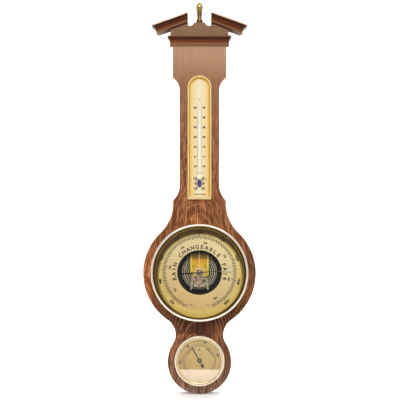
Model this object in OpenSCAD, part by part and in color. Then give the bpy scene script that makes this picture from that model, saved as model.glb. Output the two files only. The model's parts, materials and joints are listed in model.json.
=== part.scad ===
// Wall weather station: a shaped board with a broken pediment, an arched thermometer,
// an aneroid barometer with an open dial, and a small hygrometer at the foot.
// +X is right and +Z is up as seen from the front, and the front looks along -Y.
// The origin is the middle of the hanger's round hole, on the wall plane y = 0.
// Modules draw in front view axes: x right, y up, z out from the wall. facing() turns them.

/* [Board] */
// Thickness of the case board
board_t = 24; // [22:0.5:32]
// Width of the block under the cornice
block_w = 83; // [76:0.1:96]
// Drop from the hanger to the block's lower corners
block_drop = 26.4; // [20:0.2:36]
// Width of the neck
neck_w = 61.4; // [54:0.2:68]
// Radius of the cavetto between block and neck
cavetto_r = 23.6; // [16:0.2:30]
// Width of the board at the shoulder corners
shoulder_w = 82; // [74:0.2:90]
// Drop from the hanger to the shoulder corners
shoulder_drop = 217.5; // [205:0.5:225]
// Radius of the flare from neck to shoulder
flare_r = 31.4; // [20:0.2:40]
// Radius of the hollow from shoulder to barometer lobe
hollow_r = 62; // [50:0.5:70]
// Drop from the hanger to the barometer's middle
barometer_drop = 329.3; // [325:0.1:350]
// How far the barometer's lobe sits below the barometer's middle
barometer_low = 1.5; // [0:0.1:3]
// Width of wood round the barometer's bezel
barometer_wood = 12.2; // [8:0.1:16]
// Drop from the hanger to the hygrometer's middle
hygrometer_drop = 465.9; // [464:0.1:480]
// How far the hygrometer's lobe sits below the hygrometer's middle
hygrometer_low = 2.5; // [0:0.1:4]
// Width of wood round the hygrometer's bezel
hygrometer_wood = 10.9; // [8:0.1:14]
// Radius of the hollows at the waist
waist_r = 28.5; // [22:0.5:36]

/* [Cornice and pediment] */
// Height of the cornice's underside above the hanger
cornice_rise = 22.9; // [20:0.1:30]
// Height of the cornice
cornice_h = 14.1; // [10:0.1:20]
// How far the cornice's foot stands out from the board
cornice_foot = 4.4; // [3:0.1:6]
// How far the cornice's top stands out from the board
cornice_out = 8.1; // [7.4:0.1:12]
// Height of the square fillets on the mouldings
fillet_h = 2.5; // [1:0.1:3]
// Depth of the hollow in the mouldings
cove_sag = 1.1; // [0.5:0.1:2]
// How far the tympanum stands past the block on each side
tympanum_over = 3.6; // [0:0.05:8]
// Height of the tympanum's middle above the cornice
plateau_h = 21.3; // [18:0.1:26]
// Distance from the centre line to the middle of a scoop
scoop_x = 15; // [13:0.1:17]
// Radius of a scoop in the tympanum's top
scoop_r = 6.3; // [4:0.1:7.5]
// Height of a scoop's middle above the plateau
scoop_up = 1.2; // [0.5:0.1:3]
// Slope of the raking rails in degrees
rake = 20; // [14:0.5:24]
// Height of a rail's moulding
rail_h = 14.3; // [10:0.1:20]
// Height of the plain backing that shows below a rail's moulding
backing_h = 1.6; // [1:0.1:4]
// Distance from the centre line to a rail's inner end
rail_in = 18.1; // [17:0.1:20]
// How far a rail's outer top corner stands past the tympanum
rail_over = 28.5; // [20:0.5:34]
// Height of the moulding's lower edge above the cornice at a rail's inner end
rail_up = 21.8; // [20:0.1:26]
// How far a rail's foot stands out
rail_foot = 4.4; // [2:0.1:6]
// How far a rail's top stands out
rail_out = 11.2; // [8:0.1:14]

/* [Finial] */
// Radius of the acorn at its widest
acorn_r = 5.2; // [4:0.1:7]
// Height of the whole finial
finial_h = 34.6; // [26:0.2:40]
// Radius of the finial's stem
stem_r = 3.4; // [2.8:0.05:3.8]
// Radius of the base ring
base_ring_r = 5.1; // [4.5:0.1:7]
// Height of the base ring
base_ring_h = 5.5; // [3:0.1:7]
// Radius of the threaded stud
stud_r = 2; // [1.5:0.1:2.5]
// Depth of the stud in the board
stud_sink = 8; // [5:0.5:12]

/* [Hanger] */
// Width of the hanger plate
hanger_w = 28; // [24:0.5:36]
// Height of the hanger plate
hanger_h = 44; // [40:0.5:48]
// Thickness of the hanger plate
hanger_t = 1.2; // [0.8:0.1:2]
// Radius of the keyhole's round part
keyhole_r = 4.5; // [3.5:0.1:5]
// Width of the keyhole's slot
keyhole_slot = 4; // [3:0.1:4.6]
// Length of the keyhole's slot above the round part
keyhole_run = 10; // [7:0.5:12]
// Depth of the pocket for the wall screw's head
head_pocket = 6; // [4:0.5:9]
// Shank radius of the wood screws
wood_screw_r = 1.4; // [1:0.1:1.8]
// Length of the wood screws
wood_screw_l = 12; // [8:0.5:16]

/* [Thermometer] */
// Width of the thermometer frame
frame_w = 36.4; // [32:0.2:44]
// Drop from the hanger to the top of the frame's arch
frame_top = 24.5; // [20:0.5:34]
// Length of the frame
frame_l = 191.4; // [175:0.2:195]
// How far the frame stands out from the board
frame_t = 5; // [4:0.1:6]
// Width of the frame's flat rim
rim_w = 3.1; // [2:0.1:4]
// Width of the bevel inside the rim
bevel_w = 2; // [1:0.1:3]
// Width of the bar across the foot of the frame
foot_bar = 3.9; // [3:0.1:6]
// Thickness of the scale plate
scale_t = 1.2; // [0.8:0.1:1.5]
// Radius of the glass tube
tube_r = 2; // [1.5:0.1:2.2]
// Radius of the tube's bore
capillary_r = 0.6; // [0.4:0.05:0.9]
// Radius of the bulb
bulb_r = 3.15; // [2.5:0.05:3.2]
// Length of the bulb
bulb_l = 12.2; // [9:0.1:15]
// Thickness of the bulb's glass
bulb_wall = 0.6; // [0.4:0.05:0.8]
// Drop from the hanger to the tube's top
tube_top = 79; // [70:0.5:90]
// Drop from the hanger to the bulb's foot
bulb_foot = 197; // [188:0.5:200]
// Drop from the hanger to the liquid's level
liquid_top = 131; // [100:0.5:165]
// Width of a tube clip
clip_w = 1.2; // [0.8:0.1:2]
// Thickness of a tube clip
clip_t = 0.4; // [0.3:0.05:0.8]

/* [Barometer case] */
// Outer radius of the bezel
bezel_r = 75.2; // [74.5:0.1:80]
// Width of the bright bead on the bezel
bead_w = 3.6; // [3:0.1:4.2]
// Width of the whole bezel ring, from its rim to its opening
bezel_w = 6.9; // [6.6:0.1:7.2]
// Thickness of the bezel's skirt
skirt_t = 1.8; // [1.2:0.1:1.9]
// Width of the dial's edge that the bezel covers
dial_edge = 2; // [1.8:0.05:2.1]
// Radius of the opening in the dial
dial_hole_r = 34.6; // [30:0.2:36]
// Thickness of the dial
dial_t = 0.8; // [0.5:0.1:1]
// Space between dial and glass
glass_gap = 5; // [4.6:0.1:7]
// Thickness of the glass
glass_t = 2; // [1.5:0.1:3]
// Height of the bead above the glass
bead_rise = 4.2; // [3:0.1:6]
// Outer radius of the can
can_r = 52; // [50:0.5:56]
// Thickness of the can's wall and floor
can_t = 1; // [0.8:0.1:1.5]
// Depth of the can's back inside the board's rear face
can_inset = 0.8; // [0.5:0.1:1.2]
// Thickness of the can's flange
flange_t = 0.8; // [0.6:0.1:1.2]

/* [Barometer hands] */
// Length of the indicator hand from the middle to its tip
hand_l = 54; // [46:0.5:58]
// Length of the indicator hand's tail
tail_l = 28.5; // [20:0.5:32]
// Width of the indicator hand at its boss
hand_w = 1.7; // [1.2:0.1:2.4]
// Length of the indicator hand's pointed tip
hand_tip_l = 6; // [3:0.5:10]
// Width of the indicator hand where its tip starts
hand_tip_w = 1.1; // [0.8:0.05:1.6]
// Width of the indicator hand's tail
hand_tail_w = 2.2; // [1.6:0.1:3]
// Thickness of the hands
hand_t = 0.5; // [0.4:0.05:0.7]
// Length of the set hand
set_hand_l = 51; // [44:0.5:56]
// Length of the set hand's tail
set_tail_l = 12; // [8:0.5:16]
// Radius of the set hand's hub
set_hub_r = 3.2; // [2.8:0.1:4]
// Width of the baton on the set hand
baton_w = 2.8; // [2:0.1:4]
// Length of the baton on the set hand
baton_l = 8.5; // [6:0.5:12]
// Radius of the knob on the glass
knob_r = 5; // [4:0.1:6]
// Height of the knob
knob_h = 6.4; // [5:0.1:8]
// Radius of the set hand's stem
set_stem_r = 1.4; // [1:0.1:1.8]
// Angle of the hands at rest, clockwise from the top
hand_rest = 85.5; // [60:0.5:110]

/* [Barometer movement] */
// Radius of the movement's base plate
base_r = 46; // [45.5:0.1:47]
// Thickness of the base plate
base_t = 1.5; // [1:0.1:2]
// Radius of the aneroid capsule
capsule_r = 27.5; // [24:0.1:27.8]
// Thickness of the aneroid capsule
capsule_h = 7; // [5:0.1:7.5]
// Distance between the rings pressed in the capsule
ring_pitch = 3.3; // [2:0.1:4]
// Height of the capsule's rings
ring_rise = 0.6; // [0.2:0.05:0.6]
// Width of the bridge
bridge_w = 28.4; // [24:0.2:30]
// Width of the raised rims along the bridge's sides
bridge_rim = 2.6; // [2:0.1:4]
// Reach of the bridge below the arbor
bridge_tip = 6; // [4:0.5:8]
// Thickness of the bridge
bridge_t = 1.4; // [1:0.1:1.6]
// Height of the bridge's back above the gear plate
bridge_gap = 3.4; // [3.3:0.1:3.5]
// Distance from the arbor to the bend at the bridge's flat
bridge_bend = 22; // [21:0.5:24]
// Distance from the arbor to the bend at the bridge's foot
bridge_foot = 37; // [36:0.5:38]
// Height of the gear plate's back above the base plate
gear_plate_up = 14.1; // [14:0.1:14.3]
// Thickness of the gear plate
gear_plate_t = 1; // [0.8:0.1:1.1]
// Module of the gear teeth
tooth_m = 0.5; // [0.45:0.01:0.55]
// Teeth of the pinion
pinion_teeth = 8; // [8:1:9]
// Teeth that the sector would have as a full wheel
sector_teeth = 72; // [70:1:74]
// Teeth cut on the sector
sector_cut = 16; // [14:2:16]
// Thickness of the sector
sector_t = 1; // [0.6:0.1:1.1]
// Radius of the arbor
arbor_r = 0.9; // [0.7:0.05:1]
// Length of the rocking shaft's driven arm
rocker_in = 2; // [1.8:0.1:2.2]
// Length of the rocking shaft's driving arm
rocker_out = 4.4; // [4.2:0.1:4.5]
// Length of the sector's tail
sector_tail = 5; // [4.8:0.1:5.2]
// Height of the main lever's hinge above the arbor
lever_up = 22; // [21.8:0.1:22.5]
// Thickness of the main lever
lever_t = 1; // [0.8:0.1:1.1]
// Sideways distance of the lever's posts
lever_post_x = 19.3; // [19:0.1:20]
// Turns of the hairspring
hairspring_turns = 3.5; // [2:0.5:4]

/* [Hygrometer] */
// Outer radius of the hygrometer's bezel
hygro_bezel_r = 38.45; // [36:0.05:42]
// Width of its bezel's ring, from rim to opening
hygro_bezel_w = 5.05; // [4.8:0.05:5.5]
// Thickness of its bezel's skirt
hygro_skirt_t = 1.85; // [1.4:0.05:1.9]
// Width of its dial's edge that the bezel covers
hygro_dial_edge = 1.1; // [0.8:0.05:1.2]
// Thickness of its dial
hygro_dial_t = 0.6; // [0.4:0.05:0.8]
// Space between its dial and glass
hygro_glass_gap = 4; // [3.5:0.1:5]
// Thickness of its glass
hygro_glass_t = 1.5; // [1:0.1:2]
// Outer radius of its can
hygro_can_r = 28; // [24:0.2:30]
// Depth of its can
hygro_can_l = 18; // [16:0.2:20]
// Length of its hand from the middle to the tip
hygro_hand_l = 25.2; // [20:0.2:28]
// Length of its hand's tail
hygro_tail_l = 14; // [10:0.2:18]
// Angle of its hand at rest, clockwise from the top
hygro_rest = -29.6; // [-60:0.2:60]
// Turns of the humidity coil
coil_turns = 4; // [3:0.5:5]
// Width of the coil's strip
coil_w = 4.5; // [3:0.1:5]

/* [Fits] */
// Radial clearance of a running bearing
run_gap = 0.05; // [0.02:0.01:0.08]
// Clearance of pieces that drop into place
drop_gap = 0.1; // [0.05:0.01:0.15]
// Clearance between pieces that pass each other
pass_gap = 0.3; // [0.25:0.01:0.35]
// Clearance round the cans in the board
can_gap = 1; // [0.5:0.1:1.5]

/* [Hidden] */
$fn = 96;

// Helpers in front view axes.
function arc(c, r, a0, a1, step = 4) =
    let (n = max(2, ceil(abs(a1 - a0) / step)))
    [for (i = [0:n]) c + r * [cos(a0 + (a1 - a0) * i / n), sin(a0 + (a1 - a0) * i / n)]];
function mirrored(p) = concat(p, [for (i = [len(p) - 1:-1:0]) [-p[i][0], p[i][1]]]);
function bezier(a, b, c, d, n = 10) =
    [for (i = [0:n]) let (t = i / n, s = 1 - t)
        s * s * s * a + 3 * s * s * t * b + 3 * s * t * t * c + t * t * t * d];
function direction(v) = atan2(v[1], v[0]);
module facing() {
    rotate([90, 0, 0]) children();
}
module slab(from, thick) {
    translate([0, 0, from]) linear_extrude(thick) children();
}
module plates(from, thick) {
    for (i = [0:$children - 1]) slab(from, thick) children(i);
}
module at_barometer() {
    facing() translate([0, -barometer_drop, 0]) children();
}
module at_hygrometer() {
    facing() translate([0, -hygrometer_drop, 0]) children();
}
module rod(p, r, from, to) {
    translate([p[0], p[1], from]) cylinder(r = r, h = to - from);
}
module bar(p, q, w) {
    length = norm(q - p);
    translate(p) rotate(direction(q - p)) translate([0, -w / 2]) square([length, w]);
    translate(p) circle(w / 2);
    translate(q) circle(w / 2);
}
module crossrod(y, z, r, from, to) {
    translate([from, y, z]) rotate([0, 90, 0]) cylinder(r = r, h = to - from);
}

// Sizes and heights of the board.
board_top = cornice_rise + cornice_h;
barometer_lobe_r = bezel_r + barometer_wood;
hygrometer_lobe_r = hygro_bezel_r + hygrometer_wood;
tympanum_w = block_w + 2 * tympanum_over;
rail_end = tympanum_w / 2 + rail_over;
barometer_c = [0, -barometer_drop];
hygrometer_c = [0, -hygrometer_drop];
upper_lobe_c = barometer_c - [0, barometer_low];
lower_lobe_c = hygrometer_c - [0, hygrometer_low];

// The board's outline: tangent arcs run from the neck into the two lobes.
cavetto_dx = cavetto_r - (block_w - neck_w) / 2;
cavetto_c = [neck_w / 2 + cavetto_r, -block_drop - sqrt(cavetto_r * cavetto_r - cavetto_dx * cavetto_dx)];
flare_dx = flare_r - (shoulder_w - neck_w) / 2;
flare_c = [neck_w / 2 + flare_r, -shoulder_drop + sqrt(flare_r * flare_r - flare_dx * flare_dx)];
hollow_x = shoulder_w / 2 + hollow_r;
hollow_reach = barometer_lobe_r + hollow_r;
hollow_c = upper_lobe_c + [hollow_x, sqrt(hollow_reach * hollow_reach - hollow_x * hollow_x)];
waist_up = barometer_lobe_r + waist_r;
waist_down = hygrometer_lobe_r + waist_r;
lobes_apart = upper_lobe_c[1] - lower_lobe_c[1];
waist_fall = (waist_up * waist_up - waist_down * waist_down + lobes_apart * lobes_apart) / (2 * lobes_apart);
waist_c = upper_lobe_c + [sqrt(waist_up * waist_up - waist_fall * waist_fall), -waist_fall];
board_edge = concat(
    [[block_w / 2, board_top]],
    arc(cavetto_c, cavetto_r, direction([block_w / 2, -block_drop] - cavetto_c), 180),
    arc(flare_c, flare_r, 180, 360 + direction([shoulder_w / 2, -shoulder_drop] - flare_c)),
    arc(hollow_c, hollow_r, 180, 360 + direction(upper_lobe_c - hollow_c)),
    arc(upper_lobe_c, barometer_lobe_r, direction(hollow_c - upper_lobe_c) - 2,
        direction(waist_c - upper_lobe_c) + 2),
    arc(waist_c, waist_r, direction(upper_lobe_c - waist_c), 360 + direction(lower_lobe_c - waist_c)),
    arc(lower_lobe_c, hygrometer_lobe_r, direction(waist_c - lower_lobe_c) - 2, -86)
);

// Radii of the two dials' rings, inward from the bezels' rims.
dial_view_r = bezel_r - bezel_w;
dial_r = dial_view_r + dial_edge;
bezel_skirt = bezel_r - skirt_t;
flange_r = bezel_skirt - 2 * drop_gap;
hygro_view_r = hygro_bezel_r - hygro_bezel_w;
hygro_dial_r = hygro_view_r + hygro_dial_edge;
hygro_skirt = hygro_bezel_r - hygro_skirt_t;
hygro_flange_r = hygro_skirt - 2 * drop_gap;

// Depths of the barometer, outward from the wall.
can_floor = can_inset + can_t;
base_top = can_floor + base_t;
flange_top = board_t + flange_t;
dial_top = flange_top + dial_t;
glass_back = dial_top + glass_gap;
glass_top = glass_back + glass_t;
hand_z = dial_top + 1.6;
washer_t = 0.5;
set_hand_z = glass_back - washer_t - hand_t - drop_gap;
can_hole_r = can_r + can_gap;
gear_back = base_top + gear_plate_up;
gear_front = gear_back + gear_plate_t;
sector_z = gear_front + 0.6;
spring_w = 0.5;
spring_z = sector_z + sector_t + 0.8;

// Depths of the hygrometer, outward from the wall.
hygro_dial_top = flange_top + hygro_dial_t;
hygro_glass_back = hygro_dial_top + hygro_glass_gap;
hygro_glass_top = hygro_glass_back + hygro_glass_t;
hygro_floor = flange_top - hygro_can_l + can_t;
hygro_bridge_z = hygro_floor + 5;
hygro_bridge_t = 1;
hygro_hand_z = hygro_dial_top + 1.4;
hygro_hole_r = hygro_can_r + can_gap;

// Wood screws of the hanger plate and small screws of the cases.
screw_inset = 5;
pocket_side = 2;
case_screw_r = 0.6;
case_screw_l = 8;
case_head_r = 1.1;
hygro_head_r = 0.75;
case_screw_ring = flange_r - case_head_r - pass_gap;
hygro_screw_ring = hygro_flange_r - hygro_head_r - drop_gap;
case_head_h = 0.7;
hygro_head_h = 0.5;
case_screw_angles = [90, 210, 330];

function hanger_mid() = keyhole_run / 2;
function hanger_spots() = [for (s = [-1, 1]) [0, hanger_mid() + s * (hanger_h / 2 - screw_inset)]];
function ring_spots(r, angles) = [for (a = angles) r * [cos(a), sin(a)]];

module keyhole(grow = 0) {
    circle(keyhole_r + grow);
    translate([-keyhole_slot / 2 - grow, 0]) square([keyhole_slot + 2 * grow, keyhole_run + grow]);
    translate([0, keyhole_run]) circle(keyhole_slot / 2 + grow);
}
module case_board() {
    color("sienna") difference() {
        facing() difference() {
            slab(0, board_t) polygon(mirrored(board_edge));
            translate([0, hanger_mid(), -1])
                linear_extrude(1 + hanger_t) square([hanger_w + 2 * drop_gap, hanger_h + 2 * drop_gap], center = true);
            slab(-1, 1 + hanger_t + head_pocket) keyhole(pocket_side);
            for (p = hanger_spots()) rod(p, wood_screw_r, 0, wood_screw_l);
            for (p = frame_pin_spots()) rod(p, frame_pin_r, board_t - frame_pin_l, board_t + 1);
            translate(concat(barometer_c, 0)) {
                rod([0, 0], can_hole_r, -1, board_t + 1);
                for (p = ring_spots(case_screw_ring, case_screw_angles)) rod(p, case_screw_r, board_t - case_screw_l, board_t + 1);
            }
            translate(concat(hygrometer_c, 0)) {
                rod([0, 0], hygro_hole_r, -1, board_t + 1);
                for (p = ring_spots(hygro_screw_ring, case_screw_angles)) rod(p, case_screw_r, board_t - case_screw_l, board_t + 1);
            }
        }
    }
}

// A moulding's section, as distance out from the board and height: a fillet, a hollow and a fillet.
fillet_lip = 0.8;
function moulding(foot, out, h) =
    let (a = [foot, fillet_h], b = [out - fillet_lip, h - fillet_h], run = b - a,
        deep = (a + b) / 2 + 2 * cove_sag * [-run[1], run[0]] / norm(run))
    concat(
        [[0, 0], [foot, 0]],
        [for (t = [0:0.1:1.001]) (1 - t) * (1 - t) * a + 2 * t * (1 - t) * deep + t * t * b],
        [[out, h - fillet_h], [out, h], [0, h]]
    );
module cornice_run() {
    polygon(moulding(cornice_foot, cornice_out, cornice_h));
}
// Plan of the cornice: the front runs between the two mitres and each return covers one side.
mitre = cornice_out + 1;
module cornice_front() {
    color("saddlebrown") intersection() {
        translate([-block_w / 2 - mitre, -board_t, cornice_rise]) rotate([90, 0, 90])
            mirror([1, 0]) linear_extrude(block_w + 2 * mitre) cornice_run();
        translate([0, 0, cornice_rise - 1]) linear_extrude(cornice_h + 2)
            polygon([[-block_w / 2, -board_t], [block_w / 2, -board_t],
                [block_w / 2 + mitre, -board_t - mitre], [-block_w / 2 - mitre, -board_t - mitre]]);
    }
}
module cornice_return() {
    color("saddlebrown") intersection() {
        translate([block_w / 2, 0, cornice_rise]) rotate([90, 0, 0])
            linear_extrude(board_t + mitre) cornice_run();
        translate([0, 0, cornice_rise - 1]) linear_extrude(cornice_h + 2)
            polygon([[block_w / 2, 0], [block_w / 2, -board_t],
                [block_w / 2 + mitre, -board_t - mitre], [block_w / 2 + mitre, 0]]);
    }
}

// The pediment: rake_z is the height of a line that runs along a rail, v above its lower edge.
plateau_z = board_top + plateau_h;
function rake_z(x, v) = board_top + rail_up - (x - rail_in) * tan(rake) + v / cos(rake);
module tympanum_board() {
    color("rosybrown") difference() {
        facing() difference() {
            slab(0, board_t) polygon(mirrored([
                [tympanum_w / 2, board_top],
                [tympanum_w / 2, rake_z(tympanum_w / 2, -backing_h)],
                [rail_in, rake_z(rail_in, -backing_h)],
                [rail_in, plateau_z]
            ]));
            for (s = [-1, 1])
                translate([s * scoop_x, plateau_z + scoop_up, -1]) cylinder(r = scoop_r, h = board_t + 2);
        }
        translate([0, -board_t / 2, plateau_z - stud_sink]) cylinder(r = stud_r, h = stud_sink + 1);
    }
}
rail_base = rail_end - rail_out;
rail_profile = moulding(rail_foot, rail_out, rail_h);
backing_end = 1.6;
module pediment_rail() {
    end_line = [for (p = rail_profile) if (p[0] > 0) [rail_base + p[0], rake_z(rail_base + p[0], p[1])]];
    outline = concat(
        [[rail_in, rake_z(rail_in, rail_h)], [rail_in, rake_z(rail_in, -backing_h)]],
        [[rail_base + backing_end, rake_z(rail_base + backing_end, -backing_h)],
            [rail_base + backing_end, rake_z(rail_base + backing_end, 0)]],
        end_line
    );
    run = (rail_end - rail_in) / cos(rake) + 2 * rail_h;
    color("saddlebrown") intersection() {
        facing() slab(0, board_t + rail_out + 1) polygon(outline);
        translate([rail_in, 0, board_top + rail_up]) rotate([0, rake, 0])
            translate([-rail_h, 0, 0]) rotate([90, 0, 90]) linear_extrude(run) mirror([1, 0])
                polygon(concat(
                    [[0, -backing_h], [board_t, -backing_h]],
                    [for (p = rail_profile) if (p[0] > 0) [board_t + p[0], p[1]]],
                    [[0, rail_h]]
                ));
    }
}

// The finial stands on the tympanum's plateau over a threaded stud.
collar_h = 1.8;
collar_out = 0.6;
acorn_z = finial_h * 0.745;
finial_profile = concat(
    [[0, base_ring_h], [stem_r + collar_out, base_ring_h]],
    arc([stem_r, base_ring_h + collar_h / 2], collar_h / 2, -50, 50, 20),
    [[stem_r, base_ring_h + collar_h]],
    bezier([stem_r, base_ring_h + 1.6 * collar_h], [stem_r, acorn_z * 0.6], [acorn_r, acorn_z * 0.75], [acorn_r, acorn_z]),
    bezier([acorn_r, acorn_z], [acorn_r, acorn_z + 3.4], [acorn_r * 0.4, finial_h - 1.6], [0, finial_h])
);
stud_up = base_ring_h + 4;
module on_plateau() {
    translate([0, -board_t / 2, plateau_z]) children();
}
module finial() {
    color("goldenrod") on_plateau() difference() {
        rotate_extrude() polygon(finial_profile);
        cylinder(r = stud_r, h = stud_up);
    }
}
module finial_base_ring() {
    edge = 1;
    color("goldenrod") on_plateau() difference() {
        rotate_extrude() polygon(concat(
            [[0, 0]],
            arc([base_ring_r - edge, edge], edge, -90, 0, 30),
            arc([base_ring_r - edge, base_ring_h - edge], edge, 0, 90, 30),
            [[0, base_ring_h]]
        ));
        translate([0, 0, -1]) cylinder(r = stud_r, h = base_ring_h + 2);
    }
}
module finial_stud() {
    color("silver") on_plateau() translate([0, 0, -stud_sink]) cylinder(r = stud_r, h = stud_sink + stud_up);
}

// The hanger plate lies flush in the board's back.
wood_head_r = 2 * wood_screw_r;
module hanger_plate() {
    color("silver") facing() difference() {
        translate([0, hanger_mid(), 0])
            linear_extrude(hanger_t) square([hanger_w, hanger_h], center = true);
        slab(-1, hanger_t + 2) keyhole();
        for (p = hanger_spots()) wood_screw(p);
    }
}
module wood_screw(p) {
    translate([p[0], p[1], 0]) cylinder(r1 = wood_head_r, r2 = wood_screw_r, h = hanger_t);
}
module hanger_screws() {
    color("silver") facing() for (p = hanger_spots()) {
        wood_screw(p);
        rod(p, wood_screw_r, hanger_t, wood_screw_l);
    }
}

// The thermometer: an arched frame with a rebate that holds the scale plate down.
arch_r = frame_w / 2;
arch_z = -frame_top - arch_r;
foot_z = -frame_top - frame_l;
rebate = 2.6;
lip_up = scale_t + drop_gap;
rim_edge = 0.6;
lip_t = 0.9;
frame_section = [
    [0, 0], [0, frame_t - rim_edge], [rim_edge, frame_t], [rim_w, frame_t],
    [rim_w + bevel_w, lip_up + lip_t], [rim_w + bevel_w, lip_up], [rebate, lip_up], [rebate, 0]
];
frame_pin_r = 0.7;
frame_pin_l = 9;
pin_head_h = 0.5;
function frame_pin_spots() = [[0, -frame_top - rim_w / 2], [0, foot_z + foot_bar / 2]];
module frame_side() {
    translate([-arch_r, foot_z, board_t]) rotate([-90, 0, 0]) mirror([0, 1])
        linear_extrude(arch_z - foot_z) polygon(frame_section);
}
module thermometer_frame() {
    color("khaki") facing() difference() {
        union() {
            frame_side();
            mirror([1, 0]) frame_side();
            translate([0, arch_z, board_t]) rotate_extrude(angle = 180)
                polygon([for (p = frame_section) [arch_r - p[0], p[1]]]);
            translate([-arch_r + rebate, foot_z, board_t])
                cube([frame_w - 2 * rebate, rebate, frame_t]);
            translate([-arch_r + rebate, foot_z, board_t + lip_up])
                cube([frame_w - 2 * rebate, foot_bar, frame_t - lip_up]);
        }
        for (p = frame_pin_spots()) rod(p, frame_pin_r, board_t - 1, board_t + frame_t + 1);
    }
}
plate_r = arch_r - rebate - drop_gap;
bulb_seat = bulb_r + pass_gap;
bulb_mid = -bulb_foot + bulb_l / 2;
module thermometer_scale() {
    color("cornsilk") facing() difference() {
        slab(board_t, scale_t) {
            translate([0, arch_z]) circle(plate_r);
            translate([-plate_r, foot_z + rebate + drop_gap])
                square([2 * plate_r, arch_z - foot_z - rebate - drop_gap]);
        }
        slab(board_t - 1, scale_t + 2)
            bar([0, -bulb_foot + bulb_r], [0, -bulb_foot + bulb_l - bulb_r], 2 * bulb_seat);
        for (z = clip_heights(), s = [-1, 1]) rod([s * clip_foot_x, z], clip_pin_r, board_t - 1, board_t + scale_t + 1);
    }
}
tube_depth = board_t + scale_t + tube_r + drop_gap;
function tube_outline(wall, bore, top, foot) = concat(
    [[0, foot]],
    bezier([bore * 0.35, foot], [bulb_r - wall, foot], [bulb_r - wall, foot + 2], [bulb_r - wall, foot + bulb_l / 2]),
    bezier([bulb_r - wall, foot + bulb_l / 2 + 1], [bulb_r - wall, foot + bulb_l - 1.4],
        [bore, foot + bulb_l - 1.4], [bore, foot + bulb_l]),
    [[bore, top - bore * 0.5], [bore * 0.5, top], [0, top]]
);
module in_tube() {
    translate([0, -tube_depth, 0]) children();
}
cavity_top = -tube_top - 2;
module thermometer_tube() {
    color("whitesmoke", 0.6) in_tube() rotate_extrude() difference() {
        polygon(tube_outline(0, tube_r, -tube_top, -bulb_foot));
        polygon(tube_outline(bulb_wall, capillary_r, cavity_top, -bulb_foot + bulb_wall));
    }
}
module thermometer_liquid() {
    film = 0.05;
    color("midnightblue") in_tube() rotate_extrude()
        polygon(tube_outline(bulb_wall + film, capillary_r - film, -liquid_top, -bulb_foot + bulb_wall + film));
}
clip_pin_r = 0.5;
clip_foot_x = tube_r + clip_t + 1.6;
function clip_heights() = [-tube_top - 18, -bulb_foot + bulb_l + 10];
module tube_clips() {
    clip_r = tube_r + drop_gap;
    color("goldenrod") for (z = clip_heights()) {
        translate([0, -tube_depth, z - clip_w / 2]) linear_extrude(clip_w) intersection() {
            difference() {
                circle(clip_r + clip_t);
                circle(clip_r);
            }
            translate([-frame_w / 2, -frame_w]) square([frame_w, frame_w]);
        }
        for (s = [-1, 1]) {
            foot_from = board_t + scale_t;
            translate([s > 0 ? clip_r : -clip_r - clip_t, -tube_depth, z - clip_w / 2])
                cube([clip_t, tube_depth - foot_from, clip_w]);
            translate([s > 0 ? clip_r : -clip_foot_x - 1, -foot_from - clip_t, z - clip_w / 2])
                cube([clip_foot_x + 1 - clip_r, clip_t, clip_w]);
            facing() rod([s * clip_foot_x, z], clip_pin_r, board_t, foot_from + clip_t / 2);
        }
    }
}
module frame_pins() {
    color("goldenrod") facing() for (p = frame_pin_spots()) {
        rod(p, frame_pin_r, board_t - frame_pin_l, board_t + frame_t);
        rod(p, frame_pin_r + 0.5, board_t + frame_t, board_t + frame_t + pin_head_h);
    }
}

// The barometer's can, dial, reflector, glass and bezel.
module can(r, floor_top, top, out) {
    rotate_extrude() polygon([
        [0, floor_top - can_t], [r, floor_top - can_t], [r, top - flange_t], [out, top - flange_t],
        [out, top], [r - can_t, top], [r - can_t, floor_top], [0, floor_top]
    ]);
}
adjuster_r = 2;
adjuster_head_r = 3;
adjuster_head_h = can_t - 0.1;
base_screw_ring = 41;
base_screw_r = 0.9;
base_screw_angles = [30, 150, 270];
module barometer_case() {
    color("dimgray") at_barometer() difference() {
        can(can_r, can_floor, flange_top, flange_r);
        rod([0, 0], adjuster_head_r + pass_gap, 0, can_floor + 1);
        for (p = ring_spots(base_screw_ring, base_screw_angles)) rod(p, base_screw_r, 0, can_floor + 1);
        for (p = ring_spots(case_screw_ring, case_screw_angles)) rod(p, case_screw_r, board_t - 1, flange_top + 1);
    }
}
module case_screws(ring, head_r, head_h) {
    for (p = ring_spots(ring, case_screw_angles)) {
        rod(p, case_screw_r, board_t - case_screw_l, flange_top);
        rod(p, head_r, flange_top, flange_top + head_h);
    }
}
module barometer_case_screws() {
    color("goldenrod") at_barometer() case_screws(case_screw_ring, case_head_r, case_head_h);
}
glass_r = dial_r - 0.2;
bezel_bore = dial_r + drop_gap;
lip_h = 0.6;
module barometer_bezel() {
    lip_r = 0.8;
    bead_mid = bezel_r - bead_w / 2;
    bead_z = glass_top + bead_rise - bead_w / 2;
    color("gold") at_barometer() rotate_extrude() polygon(concat(
        [[bezel_skirt, board_t], [bezel_r, board_t]],
        arc([bead_mid, bead_z], bead_w / 2, 0, 150, 15),
        arc([dial_view_r + lip_r, glass_top + lip_h + lip_r], lip_r, 100, 180, 20),
        [[dial_view_r, glass_top], [bezel_bore, glass_top], [bezel_bore, dial_top + drop_gap],
            [bezel_skirt, dial_top + drop_gap]]
    ));
}
module reflector_ring() {
    foot = dial_view_r + 0.5;
    foot_h = 0.5;
    crest_t = 0.7;
    color("gold") at_barometer() rotate_extrude() polygon([
        [foot, dial_top], [dial_r, dial_top], [dial_r, glass_back],
        [dial_r - crest_t, glass_back], [foot, dial_top + foot_h]
    ]);
}
stem_hole_r = set_stem_r + run_gap;
module barometer_glass() {
    color("lightcyan", 0.3) at_barometer() difference() {
        rod([0, 0], glass_r, glass_back, glass_top);
        rod([0, 0], stem_hole_r, glass_back - 1, glass_top + 1);
    }
}
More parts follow.
